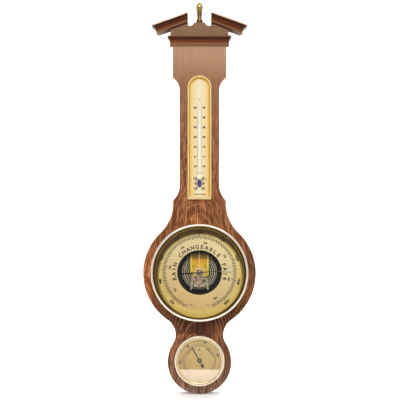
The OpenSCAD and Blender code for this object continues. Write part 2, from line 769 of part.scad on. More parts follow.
module barometer_dial() {
    color("burlywood") at_barometer() slab(flange_top, dial_t) difference() {
        circle(dial_r);
        circle(dial_hole_r);
    }
}

// The hands. The set hand hangs from its stem through the glass and turns with the knob.
module turned_to(angle) {
    rotate([0, 0, -angle]) children();
}
module set_hand() {
    rib_w = baton_w * 0.36;
    taper = baton_w / 2;
    tail_w = baton_w * 0.64;
    baton_from = set_hand_l - baton_l;
    color("gold") at_barometer() turned_to(hand_rest) difference() {
        plates(set_hand_z, hand_t) {
            circle(set_hub_r);
            translate([-rib_w / 2, 0]) square([rib_w, baton_from + taper]);
            polygon(mirrored([[rib_w / 2, baton_from], [baton_w / 2, baton_from + taper],
                [baton_w / 2, set_hand_l - taper], [0.01, set_hand_l]]));
            translate([-tail_w / 2, -set_tail_l]) square([tail_w, set_tail_l]);
            translate([0, -set_tail_l]) circle(tail_w);
        }
        rod([0, 0], set_stem_r, set_hand_z - 1, set_hand_z + hand_t + 1);
    }
}
knob_from = glass_top + drop_gap;
knob_socket = 3;
module set_hand_stem() {
    color("gold") at_barometer() rod([0, 0], set_stem_r, set_hand_z, knob_from + knob_socket);
}
module set_hand_knob() {
    edge = 0.5;
    color("dimgray") at_barometer() difference() {
        translate([0, 0, knob_from]) rotate_extrude() polygon(concat(
            [[0, 0], [knob_r - edge, 0], [knob_r, edge], [knob_r, knob_h * 0.3]],
            bezier([knob_r, knob_h * 0.35], [knob_r, knob_h * 0.8], [knob_r * 0.6, knob_h], [0, knob_h])
        ));
        rod([0, 0], set_stem_r, knob_from - 1, knob_from + knob_socket);
    }
}
module set_hand_washer() {
    color("silver") at_barometer() slab(set_hand_z + hand_t, washer_t) difference() {
        circle(2 * set_stem_r);
        circle(set_stem_r);
    }
}
collet_r = 2.2;
hand_hub_r = collet_r + 0.6;
arbor_from = gear_back - 0.5;
arbor_to = hand_z + hand_t + 0.4;
module indicator_hand() {
    color("black") at_barometer() turned_to(hand_rest) difference() {
        plates(hand_z, hand_t) {
            circle(hand_hub_r);
            polygon([[-hand_w / 2, 0], [-hand_tip_w / 2, hand_l - hand_tip_l], [0, hand_l],
                [hand_tip_w / 2, hand_l - hand_tip_l], [hand_w / 2, 0]]);
            polygon([[-hand_w / 3, 0], [-hand_tail_w / 2, -tail_l * 0.85], [-hand_tail_w / 2, -tail_l],
                [hand_tail_w / 2, -tail_l], [hand_tail_w / 2, -tail_l * 0.85], [hand_w / 3, 0]]);
        }
        rod([0, 0], arbor_r, hand_z - 1, hand_z + hand_t + 1);
    }
}
module hand_arbor() {
    collet_h = 0.8;
    hub_over = 0.2;
    color("goldenrod") at_barometer() {
        rod([0, 0], arbor_r, arbor_from, arbor_to);
        rod([0, 0], collet_r, hand_z - collet_h, hand_z);
        rod([0, 0], 2 * arbor_r, spring_z - hub_over, spring_z + spring_w + hub_over);
    }
}

// The gear train. Both gears stand in mesh with the hand at the top, then turn to the rest angle.
pinion_r = tooth_m * pinion_teeth / 2;
sector_r = tooth_m * sector_teeth / 2;
gear_span = pinion_r + sector_r;
tooth_tip = 0.85 * tooth_m;
tooth_root = 1.15 * tooth_m;
sector_rest = -hand_rest * pinion_teeth / sector_teeth;
hand_stop = 153.5;
rocker_rest = sector_rest * sector_tail / rocker_out;
lever_arm = lever_up + gear_span - rocker_in;
lever_rest = -rocker_rest * rocker_in / lever_arm;
lever_low = lever_rest * hand_stop / hand_rest;
function tooth(r, mid) =
    let (foot_w = 0.46 * tooth_m * 180 / PI / r * 2, pitch_w = 0.62 * foot_w, tip_w = 0.26 * foot_w)
    [for (k = [[-tooth_root, -foot_w], [0, -pitch_w], [tooth_tip, -tip_w],
        [tooth_tip, tip_w], [0, pitch_w], [-tooth_root, foot_w]])
        (r + k[0]) * [cos(mid - k[1] * 0.78), sin(mid - k[1] * 0.78)]];
function flat(lists) = [for (l = lists) for (p = l) p];
module arbor_pinion() {
    color("gold") at_barometer() turned_to(hand_rest) slab(sector_z - 0.2, sector_t + 0.4) difference() {
        polygon(flat([for (i = [0:pinion_teeth - 1]) tooth(pinion_r, -90 - i * 360 / pinion_teeth)]));
        circle(arbor_r);
    }
}
sector_hub_r = 3;
sector_step = 360 / sector_teeth;
sector_half = sector_step * sector_cut / 2;
sector_stud_r = 1;
sector_head_h = 0.7;
module at_sector() {
    at_barometer() translate([0, -gear_span, 0]) children();
}
module sector_gear() {
    rim_in = sector_r - 3.4;
    web_out = 7;
    tail_w = 1.7;
    color("peru") at_sector() turned_to(sector_rest) difference() {
        union() {
            slab(sector_z, sector_t) difference() {
                polygon(concat(
                    flat([for (i = [0:sector_cut - 1]) tooth(sector_r, 90 + sector_half - sector_step * (i + 0.5))]),
                    [(sector_hub_r + 2) * [cos(90 - sector_half), sin(90 - sector_half)]],
                    arc([0, 0], sector_hub_r, 60, -240, 20),
                    [(sector_hub_r + 2) * [cos(90 + sector_half), sin(90 + sector_half)]]
                ));
                for (s = [-1, 1])
                    polygon(concat(
                        arc([0, 0], rim_in, 90 + s * (sector_half - 9), 90 + s * 6),
                        arc([0, 0], web_out, 90 + s * 14, 90 + s * (sector_half - 13))
                    ));
            }
            rod([0, 0], sector_hub_r, sector_z - 0.5, sector_z + sector_t);
            slab(sector_z, sector_t) translate([0, -tail_w - arm_half - pass_gap]) square([sector_tail + 2 * arm_half, tail_w]);
        }
        rod([0, 0], sector_stud_r + run_gap, sector_z - 1, sector_z + sector_t + 1);
    }
}
module sector_stud() {
    head_from = sector_z + sector_t + drop_gap;
    color("silver") at_sector() {
        rod([0, 0], sector_stud_r, gear_back, head_from);
        rod([0, 0], 2.2 * sector_stud_r, head_from, head_from + sector_head_h);
    }
}

// The rocking shaft turns about a line along X behind the gear plate.
rocker_z = gear_back - 2;
rocker_r = 0.8;
rocker_half = 9.6;
arm_half = 0.4;
lug_x = 8;
lug_t = 1.2;
module rocking_shaft() {
    tip_gap = 0.3;
    color("silver") at_sector() translate([0, 0, rocker_z]) rotate([rocker_rest, 0, 0]) {
        crossrod(0, 0, rocker_r, -rocker_half, rocker_half);
        translate([-1.2, 0, -arm_half]) cube([2.4, rocker_in + 0.4, 2 * arm_half]);
        translate([sector_tail - arm_half, -arm_half, 0])
            cube([2 * arm_half, 2 * arm_half, rocker_out + tip_gap]);
    }
}
post_foot_x = 13;
post_foot_y = -26.5;
pillar_x = 9;
pillar_y = 10;
tenon_r = 0.8;
module gear_plate() {
    leg_from = [11, -gear_span / 2];
    leg_w = 2.6;
    spine_w = 6;
    pillar_bar = 5;
    wing_w = 2 * (lug_x + lug_t / 2);
    wing_h = 7;
    color("silver") at_barometer() difference() {
        union() {
            slab(gear_back, gear_plate_t) {
                circle(spine_w * 0.75);
                translate([-spine_w / 2, -gear_span]) square([spine_w, gear_span + pillar_y]);
                bar([-pillar_x, pillar_y], [pillar_x, pillar_y], pillar_bar);
                translate([-wing_w / 2, -gear_span - wing_h * 0.43]) square([wing_w, wing_h]);
                bar([-leg_from[0], leg_from[1]], leg_from, leg_w);
                for (s = [-1, 1])
                    bar([s * leg_from[0], leg_from[1]], [s * post_foot_x, post_foot_y], leg_w);
            }
            for (s = [-1, 1])
                translate([s * lug_x - lug_t / 2, -gear_span - 1.8, rocker_z - 1.8])
                    cube([lug_t, 3.6, gear_back - rocker_z + 1.8]);
        }
        crossrod(-gear_span, rocker_z, rocker_r + run_gap, -rocker_half - 1, rocker_half + 1);
        translate([sector_tail - 1.2, -gear_span - 2.6, gear_back - 1]) cube([2.4, 5.2, gear_plate_t + 2]);
        rod([0, 0], arbor_r + run_gap, gear_back - 1, gear_front + 1);
        rod([0, -gear_span], sector_stud_r, gear_back - 1, gear_front + 1);
        for (s = [-1, 1]) {
            rod([s * post_foot_x, post_foot_y], tenon_r, gear_back - 1, gear_front + 1);
            rod([s * pillar_x, pillar_y], tenon_r, gear_back - 1, gear_front + 1);
        }
    }
}
module gear_plate_posts() {
    color("silver") at_barometer() for (s = [-1, 1]) {
        rod([s * post_foot_x, post_foot_y], 1.3, base_top, gear_back);
        rod([s * post_foot_x, post_foot_y], tenon_r, gear_back, gear_front + 0.4);
    }
}
bridge_back = gear_front + bridge_gap;
bridge_front = bridge_back + bridge_t;
module plate_pillars() {
    color("silver") at_barometer() for (s = [-1, 1]) difference() {
        union() {
            rod([s * pillar_x, pillar_y], 1.6, gear_front, bridge_back);
            rod([s * pillar_x, pillar_y], tenon_r, gear_back - 0.3, gear_front);
        }
        rod([s * pillar_x, pillar_y], tenon_r, bridge_back - 2.4, bridge_back + 1);
    }
}

// The bridge: a sheet bent twice, from its foot on the base plate up over the arbor.
foot_l = 6;
riser_angle = atan2(bridge_back - base_top, bridge_foot - bridge_bend);
foot_end = bridge_foot + foot_l;
tip_end = -bridge_tip;
function bridge_path(t) =
    let (shift = t * tan(riser_angle / 2))
    [[foot_end, base_top + t], [bridge_foot + shift, base_top + t],
        [bridge_bend + shift, bridge_back + t], [tip_end, bridge_back + t]];
function reversed(p) = [for (i = [len(p) - 1:-1:0]) p[i]];
module sheet_run(from, to, w) {
    translate([-w / 2, 0, 0]) rotate([90, 0, 90]) linear_extrude(w)
        polygon(concat(bridge_path(from), reversed(bridge_path(to))));
}
foot_screw_x = 8;
foot_screw_y = foot_end - foot_l / 2;
foot_screw_spots = [[-foot_screw_x, foot_screw_y], [foot_screw_x, foot_screw_y]];
pillar_spots = [[-pillar_x, pillar_y], [pillar_x, pillar_y]];
bridge_screw_r = 0.8;
module bridge_plate() {
    rib_w = 1.4;
    rib_rise = 0.5;
    rib_from = 13;
    corner = 5;
    channel_w = bridge_w / 2 - bridge_rim - rib_w / 2;
    color("gold") at_barometer() difference() {
        intersection() {
            union() {
                sheet_run(0, bridge_t, bridge_w);
                difference() {
                    sheet_run(bridge_t, bridge_t + rib_rise, bridge_w);
                    translate([-bridge_w / 2 + bridge_rim, tip_end - 1, 0])
                        cube([bridge_w - 2 * bridge_rim, rib_from - tip_end + 1, board_t]);
                    for (s = [-1, 1])
                        translate([(s * (rib_w + channel_w) - channel_w) / 2, 0, 0])
                            cube([channel_w, foot_end + 1, board_t]);
                }
            }
            slab(0, board_t) {
                translate([-bridge_w / 2, tip_end + corner]) square([bridge_w, foot_end - tip_end - corner]);
                translate([-bridge_w / 2 + corner, tip_end]) square([bridge_w - 2 * corner, foot_end - tip_end]);
                for (s = [-1, 1]) translate([s * (bridge_w / 2 - corner), tip_end + corner]) circle(corner);
            }
        }
        rod([0, 0], arbor_r + run_gap, bridge_back - 1, bridge_front + 1);
        for (p = pillar_spots) rod(p, bridge_screw_r, bridge_back - 1, bridge_front + 1);
        for (p = foot_screw_spots) rod(p, bridge_screw_r, base_top - 1, base_top + bridge_t + 1);
    }
}
module cheese_head(p, z) {
    head_r = 1.7;
    head_h = 0.9;
    slot_w = 0.4;
    slot_deep = 0.4;
    difference() {
        rod(p, head_r, z, z + head_h);
        translate([p[0] - head_r - 1, p[1] - slot_w / 2, z + head_h - slot_deep])
            cube([2 * head_r + 2, slot_w, slot_deep + 1]);
    }
}
module bridge_screws() {
    color("silver") at_barometer() {
        for (p = pillar_spots) {
            cheese_head(p, bridge_front);
            rod(p, bridge_screw_r, bridge_back - 2.2, bridge_front);
        }
        for (p = foot_screw_spots) {
            cheese_head(p, base_top + bridge_t);
            rod(p, bridge_screw_r, can_floor, base_top + bridge_t);
        }
    }
}
spring_t = 0.25;
spring_in = 2.2;
spring_out = 5.6;
// Points of a flat spiral, as one closed strip of a given thickness.
function spiral(r0, r1, turns, t, step) =
    let (n = ceil(turns * 360 / step))
    concat(
        [for (i = [0:n]) (r0 + (r1 - r0) * i / n) * [cos(i * turns * 360 / n), sin(i * turns * 360 / n)]],
        [for (i = [n:-1:0]) (r0 + t + (r1 - r0) * i / n) * [cos(i * turns * 360 / n), sin(i * turns * 360 / n)]]
    );
module hairspring() {
    color("steelblue") at_barometer() slab(spring_z, spring_w)
        polygon(spiral(spring_in, spring_out, hairspring_turns, spring_t, 20));
}
module hairspring_stud() {
    end = 360 * hairspring_turns;
    stud_half = 0.6;
    color("goldenrod") at_barometer()
        rod((spring_out + spring_t + stud_half) * [cos(end), sin(end)], stud_half, spring_z - drop_gap, bridge_back);
}

// The base plate, the capsule and the lever that feels it.
module movement_base_plate() {
    color("dimgray") at_barometer() difference() {
        rod([0, 0], base_r, can_floor, base_top);
        rod([0, 0], adjuster_r + run_gap, can_floor - 1, base_top + 1);
        for (p = ring_spots(base_screw_ring, base_screw_angles)) rod(p, base_screw_r, can_floor - 1, base_top + 1);
        for (p = foot_screw_spots) rod(p, bridge_screw_r, can_floor - 1, base_top + 1);
    }
}
module base_plate_screws() {
    color("silver") at_barometer() for (p = ring_spots(base_screw_ring, base_screw_angles)) {
        cheese_head(p, base_top);
        rod(p, base_screw_r, can_inset, base_top);
    }
}
capsule_from = base_top + 1;
adjuster_end = capsule_from + 1.3;
capsule_top = capsule_from + capsule_h;
boss_top = capsule_top + 0.8;
rings_from = 6;
ring_count = floor((capsule_r - 2 - rings_from) / ring_pitch);
function ring_wave(z, sign) = [for (i = [0:ring_count * 6])
    [rings_from + i * ring_pitch / 6, z + sign * ring_rise * (1 - cos(i * 60)) / 2]];
module aneroid_capsule() {
    crimp = 1;
    foot_r = 5;
    boss_r = 4;
    color("slategray") at_barometer() difference() {
        rotate_extrude() polygon(concat(
            [[0, base_top], [foot_r, base_top], [foot_r, capsule_from + ring_rise]],
            ring_wave(capsule_from + ring_rise, -1),
            arc([capsule_r - crimp, capsule_from + crimp], crimp, -90, 0, 30),
            arc([capsule_r - crimp, capsule_top - crimp], crimp, 0, 90, 30),
            reversed(ring_wave(capsule_top - ring_rise, 1)),
            [[boss_r, capsule_top - ring_rise], [boss_r, boss_top], [0, boss_top]]
        ));
        rod([0, 0], adjuster_r + run_gap, base_top - 1, adjuster_end + pass_gap);
    }
}
module adjusting_screw() {
    head_back = can_floor - adjuster_head_h;
    slot_w = 0.6;
    slot_deep = 0.5;
    color("silver") at_barometer() difference() {
        union() {
            rod([0, 0], adjuster_r, can_floor, adjuster_end);
            rod([0, 0], adjuster_head_r, head_back, can_floor);
        }
        translate([-adjuster_head_r - 1, -slot_w / 2, head_back - 1])
            cube([2 * adjuster_head_r + 2, slot_w, slot_deep + 1]);
    }
}
pad_r = 0.5;
pad_h = 0.7;
lever_z = rocker_z - arm_half - pad_h - pass_gap - lever_t / 2;
lever_hub_r = 1.7;
lever_shaft_r = 0.8;
lever_end_y = -gear_span + rocker_in - pad_r - 0.2;
module at_lever() {
    at_barometer() translate([0, lever_up, lever_z]) rotate([lever_rest, 0, 0]) translate([0, -lever_up, 0]) children();
}
module main_lever() {
    hub_half = lever_post_x - lever_post_r - pass_gap;
    pad_from = lever_t / 2;
    root_half = 6;
    waist_half = 4.4;
    waist_y = 6;
    end_half = 2.2;
    color("darkgoldenrod") at_lever() difference() {
        union() {
            slab(-lever_t / 2, lever_t) difference() {
                polygon([[-root_half, lever_up], [-waist_half, waist_y], [-end_half, lever_end_y],
                    [end_half, lever_end_y], [waist_half, waist_y], [root_half, lever_up]]);
                bar([0, waist_y + 3], [0, lever_up - root_half], 3.4);
                bar([0, -waist_y - 1], [0, lever_end_y + 5], 1.6);
            }
            crossrod(lever_up, 0, lever_hub_r, -hub_half, hub_half);
            rod([0, -gear_span + rocker_in], pad_r, pad_from, pad_from + pad_h);
        }
        crossrod(lever_up, 0, lever_shaft_r + run_gap, -hub_half - 1, hub_half + 1);
    }
}
module capsule_post() {
    post_gap = lever_up * sin(abs(lever_low)) + drop_gap;
    color("silver") at_lever() rod([0, 0], 1.2, boss_top + post_gap - lever_z, -lever_t / 2);
}
lever_post_r = 1.4;
module lever_posts() {
    color("silver") at_barometer() difference() {
        for (s = [-1, 1]) rod([s * lever_post_x, lever_up], lever_post_r, base_top, lever_z + 1.8);
        crossrod(lever_up, lever_z, lever_shaft_r, -lever_post_x - 2, lever_post_x + 2);
    }
}
module lever_shaft() {
    reach = lever_post_x + lever_post_r;
    color("silver") at_barometer() crossrod(lever_up, lever_z, lever_shaft_r, -reach, reach);
}

// The hygrometer.
vent_spots = ring_spots(hygro_can_r * 0.6, [0:45:315]);
module hygrometer_case() {
    color("dimgray") at_hygrometer() difference() {
        can(hygro_can_r, hygro_floor, flange_top, hygro_flange_r);
        for (p = vent_spots) rod(p, 1.5, hygro_floor - 2, hygro_floor + 1);
        for (p = ring_spots(hygro_screw_ring, case_screw_angles)) rod(p, case_screw_r, board_t - 1, flange_top + 1);
    }
}
module hygrometer_case_screws() {
    color("goldenrod") at_hygrometer() case_screws(hygro_screw_ring, hygro_head_r, hygro_head_h);
}
hygro_glass_r = hygro_dial_r;
module hygrometer_bezel() {
    bore = hygro_dial_r + drop_gap;
    outer_bead = 0.9;
    inner_bead = 1.1;
    step_up = 1.1;
    lip_up = 0.5;
    inner_mid = hygro_view_r + inner_bead + 0.7;
    outer_z = hygro_glass_top + 0.6;
    color("gold") at_hygrometer() rotate_extrude() polygon(concat(
        [[hygro_skirt, board_t], [hygro_bezel_r, board_t]],
        arc([hygro_bezel_r - outer_bead, outer_z], outer_bead, 0, 150, 25),
        arc([inner_mid, outer_z + step_up], inner_bead, 30, 180, 25),
        [[hygro_view_r, hygro_glass_top + lip_up], [hygro_view_r, hygro_glass_top], [bore, hygro_glass_top],
            [bore, hygro_dial_top + drop_gap], [hygro_skirt, hygro_dial_top + drop_gap]]
    ));
}
module hygrometer_glass() {
    color("lightcyan", 0.3) at_hygrometer() rod([0, 0], hygro_glass_r, hygro_glass_back, hygro_glass_top);
}
hygro_arbor_r = 0.7;
module hygrometer_dial() {
    color("burlywood") at_hygrometer() slab(flange_top, hygro_dial_t) difference() {
        circle(hygro_dial_r);
        circle(1.6);
    }
}
hygro_hand_t = 0.4;
eyelet_r = 3.1;
module hygrometer_hand() {
    drop_r = 2.2;
    stem_end = hygro_tail_l - 2.4 * drop_r;
    color("black") at_hygrometer() turned_to(hygro_rest) difference() {
        plates(hygro_hand_z, hygro_hand_t) {
            circle(eyelet_r);
            polygon([[-0.55, 0], [-0.7, hygro_hand_l - 6], [0, hygro_hand_l], [0.7, hygro_hand_l - 6], [0.55, 0]]);
            translate([-0.45, -stem_end]) square([0.9, stem_end]);
            polygon(concat(
                arc([0, -stem_end], drop_r, 190, -10, 20),
                [[0, -hygro_tail_l]]
            ));
        }
        rod([0, 0], hygro_arbor_r, hygro_hand_z - 1, hygro_hand_z + hygro_hand_t + 1);
    }
}
coil_z = hygro_bridge_z + hygro_bridge_t + 1.4;
coil_in = 2;
coil_out = 7.2;
coil_t = 0.35;
module hygrometer_arbor() {
    color("goldenrod") at_hygrometer() {
        rod([0, 0], hygro_arbor_r, hygro_bridge_z - 1, hygro_hand_z + hygro_hand_t + 0.5);
        rod([0, 0], 1.4, hygro_hand_z - 0.6, hygro_hand_z);
        rod([0, 0], coil_in - pass_gap, hygro_bridge_z + hygro_bridge_t + pass_gap, coil_z + coil_w);
    }
}
module humidity_coil() {
    color("peru") at_hygrometer() slab(coil_z, coil_w)
        polygon(spiral(coil_in, coil_out, coil_turns, coil_t, 15));
}
hygro_pillar_x = 10.6;
module hygrometer_bridge() {
    bar_w = 7;
    color("goldenrod") at_hygrometer() {
        slab(hygro_bridge_z, hygro_bridge_t) difference() {
            bar([-hygro_pillar_x, 0], [hygro_pillar_x, 0], bar_w);
            circle(hygro_arbor_r + run_gap);
        }
        for (s = [-1, 1])
            rod([s * hygro_pillar_x, 0], 1.5, hygro_bridge_z + hygro_bridge_t, flange_top);
    }
}
module coil_post() {
    end = 360 * coil_turns;
    post_r = 0.6;
    color("silver") at_hygrometer()
        rod((coil_out + coil_t + post_r) * [cos(end), sin(end)], post_r, hygro_bridge_z + hygro_bridge_t, coil_z + coil_w);
}

case_board();
tympanum_board();
cornice_front();
mirror([1, 0, 0]) cornice_return();  // cornice_return_left
cornice_return();  // cornice_return_right
mirror([1, 0, 0]) pediment_rail();  // pediment_rail_left
pediment_rail();  // pediment_rail_right
finial();
finial_base_ring();
finial_stud();
hanger_plate();
hanger_screws();
thermometer_frame();
thermometer_scale();
thermometer_tube();
thermometer_liquid();
tube_clips();
frame_pins();
barometer_case();
barometer_case_screws();
barometer_bezel();
reflector_ring();
barometer_glass();
barometer_dial();
set_hand();
set_hand_stem();
set_hand_knob();
set_hand_washer();
indicator_hand();
hand_arbor();
arbor_pinion();
hairspring();
hairspring_stud();
movement_base_plate();
base_plate_screws();
aneroid_capsule();
adjusting_screw();
main_lever();
capsule_post();
lever_posts();
lever_shaft();
gear_plate();
gear_plate_posts();
rocking_shaft();
sector_gear();
sector_stud();
plate_pillars();
bridge_plate();
bridge_screws();
hygrometer_case();
hygrometer_case_screws();
hygrometer_bezel();
hygrometer_glass();
hygrometer_dial();
hygrometer_hand();
hygrometer_arbor();
humidity_coil();
hygrometer_bridge();
coil_post();
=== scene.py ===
"""Wall weather station: finishes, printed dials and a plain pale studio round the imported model."""

import json
from math import cos, pi, radians, sin

import bmesh
import bpy
from mathutils import Matrix, Vector

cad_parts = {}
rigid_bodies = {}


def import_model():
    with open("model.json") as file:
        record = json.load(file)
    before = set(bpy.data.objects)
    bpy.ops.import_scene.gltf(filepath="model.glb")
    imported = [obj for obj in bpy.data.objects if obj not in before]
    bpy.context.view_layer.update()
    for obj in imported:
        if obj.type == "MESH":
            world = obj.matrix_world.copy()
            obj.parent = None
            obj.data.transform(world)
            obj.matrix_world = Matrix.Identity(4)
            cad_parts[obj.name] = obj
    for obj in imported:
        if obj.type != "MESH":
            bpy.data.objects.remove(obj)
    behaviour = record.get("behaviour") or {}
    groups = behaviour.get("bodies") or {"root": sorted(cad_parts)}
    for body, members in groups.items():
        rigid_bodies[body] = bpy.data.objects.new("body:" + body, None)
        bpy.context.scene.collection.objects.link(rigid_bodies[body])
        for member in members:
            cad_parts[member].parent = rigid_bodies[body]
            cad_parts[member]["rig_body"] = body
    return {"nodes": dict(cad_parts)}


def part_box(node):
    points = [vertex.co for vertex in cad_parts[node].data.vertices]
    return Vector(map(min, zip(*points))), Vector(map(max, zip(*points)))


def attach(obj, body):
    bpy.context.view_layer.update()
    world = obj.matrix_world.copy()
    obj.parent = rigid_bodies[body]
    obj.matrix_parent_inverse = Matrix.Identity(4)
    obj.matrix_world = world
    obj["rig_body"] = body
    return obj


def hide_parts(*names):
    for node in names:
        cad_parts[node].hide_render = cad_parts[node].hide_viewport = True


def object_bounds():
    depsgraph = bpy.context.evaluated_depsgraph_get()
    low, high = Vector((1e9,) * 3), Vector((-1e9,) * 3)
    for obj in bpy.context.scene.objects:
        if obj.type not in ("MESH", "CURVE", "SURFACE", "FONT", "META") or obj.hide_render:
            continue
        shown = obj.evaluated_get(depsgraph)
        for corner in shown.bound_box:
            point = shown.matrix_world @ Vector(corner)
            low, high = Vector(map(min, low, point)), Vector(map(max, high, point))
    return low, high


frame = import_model()
cad_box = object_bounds()

MM = 0.001


def middle(node):
    """The middle of a CAD node's box."""
    low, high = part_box(node)
    return (low + high) / 2


def front(node):
    """How far a CAD node's front stands at, as a y value."""
    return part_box(node)[0].y


def ink(red, green, blue):
    """A colour given as display values from 0 to 255."""
    def linear(value):
        value /= 255
        return value / 12.92 if value <= 0.04045 else ((value + 0.055) / 1.055) ** 2.4
    return (linear(red), linear(green), linear(blue), 1.0)


def fill_ramp(ramp, stops):
    """Colour stops, in rising order of position, put into a colour ramp."""
    while len(ramp.elements) < len(stops):
        ramp.elements.new(0.5)
    for point, (position, color) in zip(ramp.elements, stops):
        point.position = position
        point.color = color


# Finishes.

# Short names for the shader's sockets.
SOCKETS = {
    "color": "Base Color", "metal": "Metallic", "rough": "Roughness", "alpha": "Alpha",
    "coat": "Coat Weight", "coat_rough": "Coat Roughness", "specular": "Specular IOR Level",
    "rim": "Specular Tint", "glow": "Emission Strength", "glow_color": "Emission Color",
}


class Finish:
    """A material with its Principled shader, and short calls for the nodes that feed it."""

    def __init__(self, name, color, **sockets):
        self.material = bpy.data.materials.new(name)
        self.material.use_nodes = True
        self.tree = self.material.node_tree
        self.shader = self.tree.nodes["Principled BSDF"]
        self.shader.inputs["Base Color"].default_value = color
        for key, value in sockets.items():
            self.shader.inputs[SOCKETS[key]].default_value = value

    def feed(self, socket, value):
        """Link a socket to a node's output, or give it a plain value."""
        if isinstance(value, bpy.types.NodeSocket):
            self.tree.links.new(value, socket)
        else:
            socket.default_value = value

    def add(self, kind, inputs, **settings):
        node = self.tree.nodes.new("ShaderNode" + kind)
        for key, value in settings.items():
            setattr(node, key, value)
        for key, value in inputs.items():
            self.feed(node.inputs[key], value)
        return node

    def mapping(self, place, **settings):
        return self.add("Mapping", {"Vector": place, **settings}).outputs["Vector"]

    def space(self, move=(0, 0, 0), turn=(0, 0, 0), stretch=(1, 1, 1)):
        """Object coordinates, moved by minus move, turned, then stretched."""
        place = self.add("TexCoord", {}).outputs["Object"]
        place = self.mapping(place, Location=[-v for v in move])
        place = self.mapping(place, Rotation=[radians(v) for v in turn])
        return self.mapping(place, Scale=stretch)

    def part(self, place, axis):
        return self.add("SeparateXYZ", {"Vector": place}).outputs[axis]

    def length(self, vector):
        return self.add("VectorMath", {0: vector}, operation="LENGTH").outputs["Value"]

    def reach(self, centre):
        """Distance from the front-to-back axis through a point."""
        return self.length(self.space(move=centre, stretch=(1, 0, 1)))

    def noise(self, place, detail=3.0, roughness=0.5):
        return self.add("TexNoise", {
            "Vector": place, "Scale": 1.0, "Detail": detail, "Roughness": roughness,
        }).outputs["Fac"]

    def waves(self, place, scale, direction, inputs, profile="SIN"):
        """Rings round an axis, WAVE_LENGTH / scale apart."""
        return self.add(
            "TexWave", {"Vector": place, "Scale": scale, **inputs},
            wave_type="RINGS", rings_direction=direction, wave_profile=profile).outputs["Fac"]

    def math(self, operation, a, b=0.0):
        return self.add("Math", {0: a, 1: b}, operation=operation).outputs[0]

    def times(self, a, b):
        return self.math("MULTIPLY", a, b)

    def levels(self, value, low, high, out_low=0.0, out_high=1.0):
        """Value from low to high spread over out_low to out_high, and held beyond them."""
        return self.add("MapRange", {
            "Value": value, "From Min": low, "From Max": high, "To Min": out_low, "To Max": out_high,
        }).outputs["Result"]

    def ramp(self, value, stops):
        node = self.add("ValToRGB", {"Fac": value})
        fill_ramp(node.color_ramp, stops)
        return node.outputs["Color"]

    def mix(self, a, b, share, blend="MIX"):
        return self.add("Mix", {0: share, 6: a, 7: b}, data_type="RGBA", blend_type=blend).outputs[2]

    def tone(self, color, tint, share):
        """A colour multiplied by a tint, by a share from 0 to 1."""
        return self.mix(color, tint, share, "MULTIPLY")

    def bump(self, height, depth):
        self.feed(self.shader.inputs["Normal"],
                  self.add("Bump", {"Height": height, "Distance": depth}).outputs["Normal"])

    def paint(self, **sockets):
        """Link or set the shader's own sockets."""
        for key, value in sockets.items():
            self.feed(self.shader.inputs[SOCKETS[key]], value)
        return self.material


# A wave texture at scale 1 repeats at this distance, in metres.
WAVE_LENGTH = 2 * pi / 20

# The board's colour by height, from its foot (0) to the finial's tip (1): its stain, made paler towards the
# top partly by a painted sheen of light from above.
BOARD_STAIN_AND_SHEEN = [
    (0.0, ink(148, 116, 94)), (0.05, ink(138, 100, 76)), (0.11, ink(130, 80, 52)), (0.19, ink(92, 50, 22)),
    (0.3, ink(154, 98, 56)), (0.5, ink(168, 106, 64)), (0.62, ink(164, 108, 70)), (0.79, ink(164, 114, 80)),
    (0.86, ink(192, 148, 114)), (0.93, ink(204, 162, 126)), (1.0, ink(212, 172, 134)),
]
# How far the fibres spread apart by height, as they follow the board's outline. At 1 / FLOW_SCALE they are as
# close as in the straight neck.
BOARD_FLOW = [(0.0, 0.46), (0.09, 0.54), (0.19, 0.43), (0.3, 0.64), (0.4, 0.54), (0.53, 0.4), (1.0, 0.4)]
FLOW_SCALE = 2.5
# Paler and darker patches, partly the wood's own markings and partly painted light and shade, paler on the
# lobes' left sides and darker at the barometer lobe's right edge: colour, middle (x, z) in mm, reach (x, z)
# in mm, and share.
BOARD_FIGURE_AND_SHADING = [
    (ink(214, 132, 74), (-81, -325), (15, 72), 0.85), (ink(108, 66, 44), (84, -300), (14, 80), 0.55),
    (ink(212, 134, 78), (-9, -246), (20, 9), 0.75), (ink(84, 46, 26), (4, -412), (46, 13), 0.7),
    (ink(200, 122, 74), (-22, -428), (18, 5), 0.55), (ink(176, 108, 66), (-42, -446), (9, 26), 0.6),
    (ink(172, 104, 60), (30, -424), (7, 20), 0.5), (ink(186, 124, 84), (-20, -214), (12, 26), 0.4),
]
# Fibres and pores: how fine across and along the run, then the noise's detail and roughness.
WIDE_FIBRES = (470, 18, 3.0, 0.6)
FINE_FIBRES = (900, 46, 3.0, 0.7)
PORES = (1150, 150, 2.0, 0.5)
# What the grain multiplies the stain by, and the pale lines of its pointed arches.
FIBRE_SHADE = (0.42, 0.34, 0.3, 1)
FIBRE_LIGHT = (1.65, 1.75, 1.95, 1)
PORE_SHADE = (0.3, 0.2, 0.16, 1)
ARCH_LINE = ink(224, 166, 112)
RING_SCALE = 120.0
GRAIN_DEPTH = 0.11 * MM
# The grain fades from one height to the other, to this share of its strength: the top block is plainer.
CALM_FROM, CALM_TO, CALM_SHARE = 0.6, 0.82, 0.1


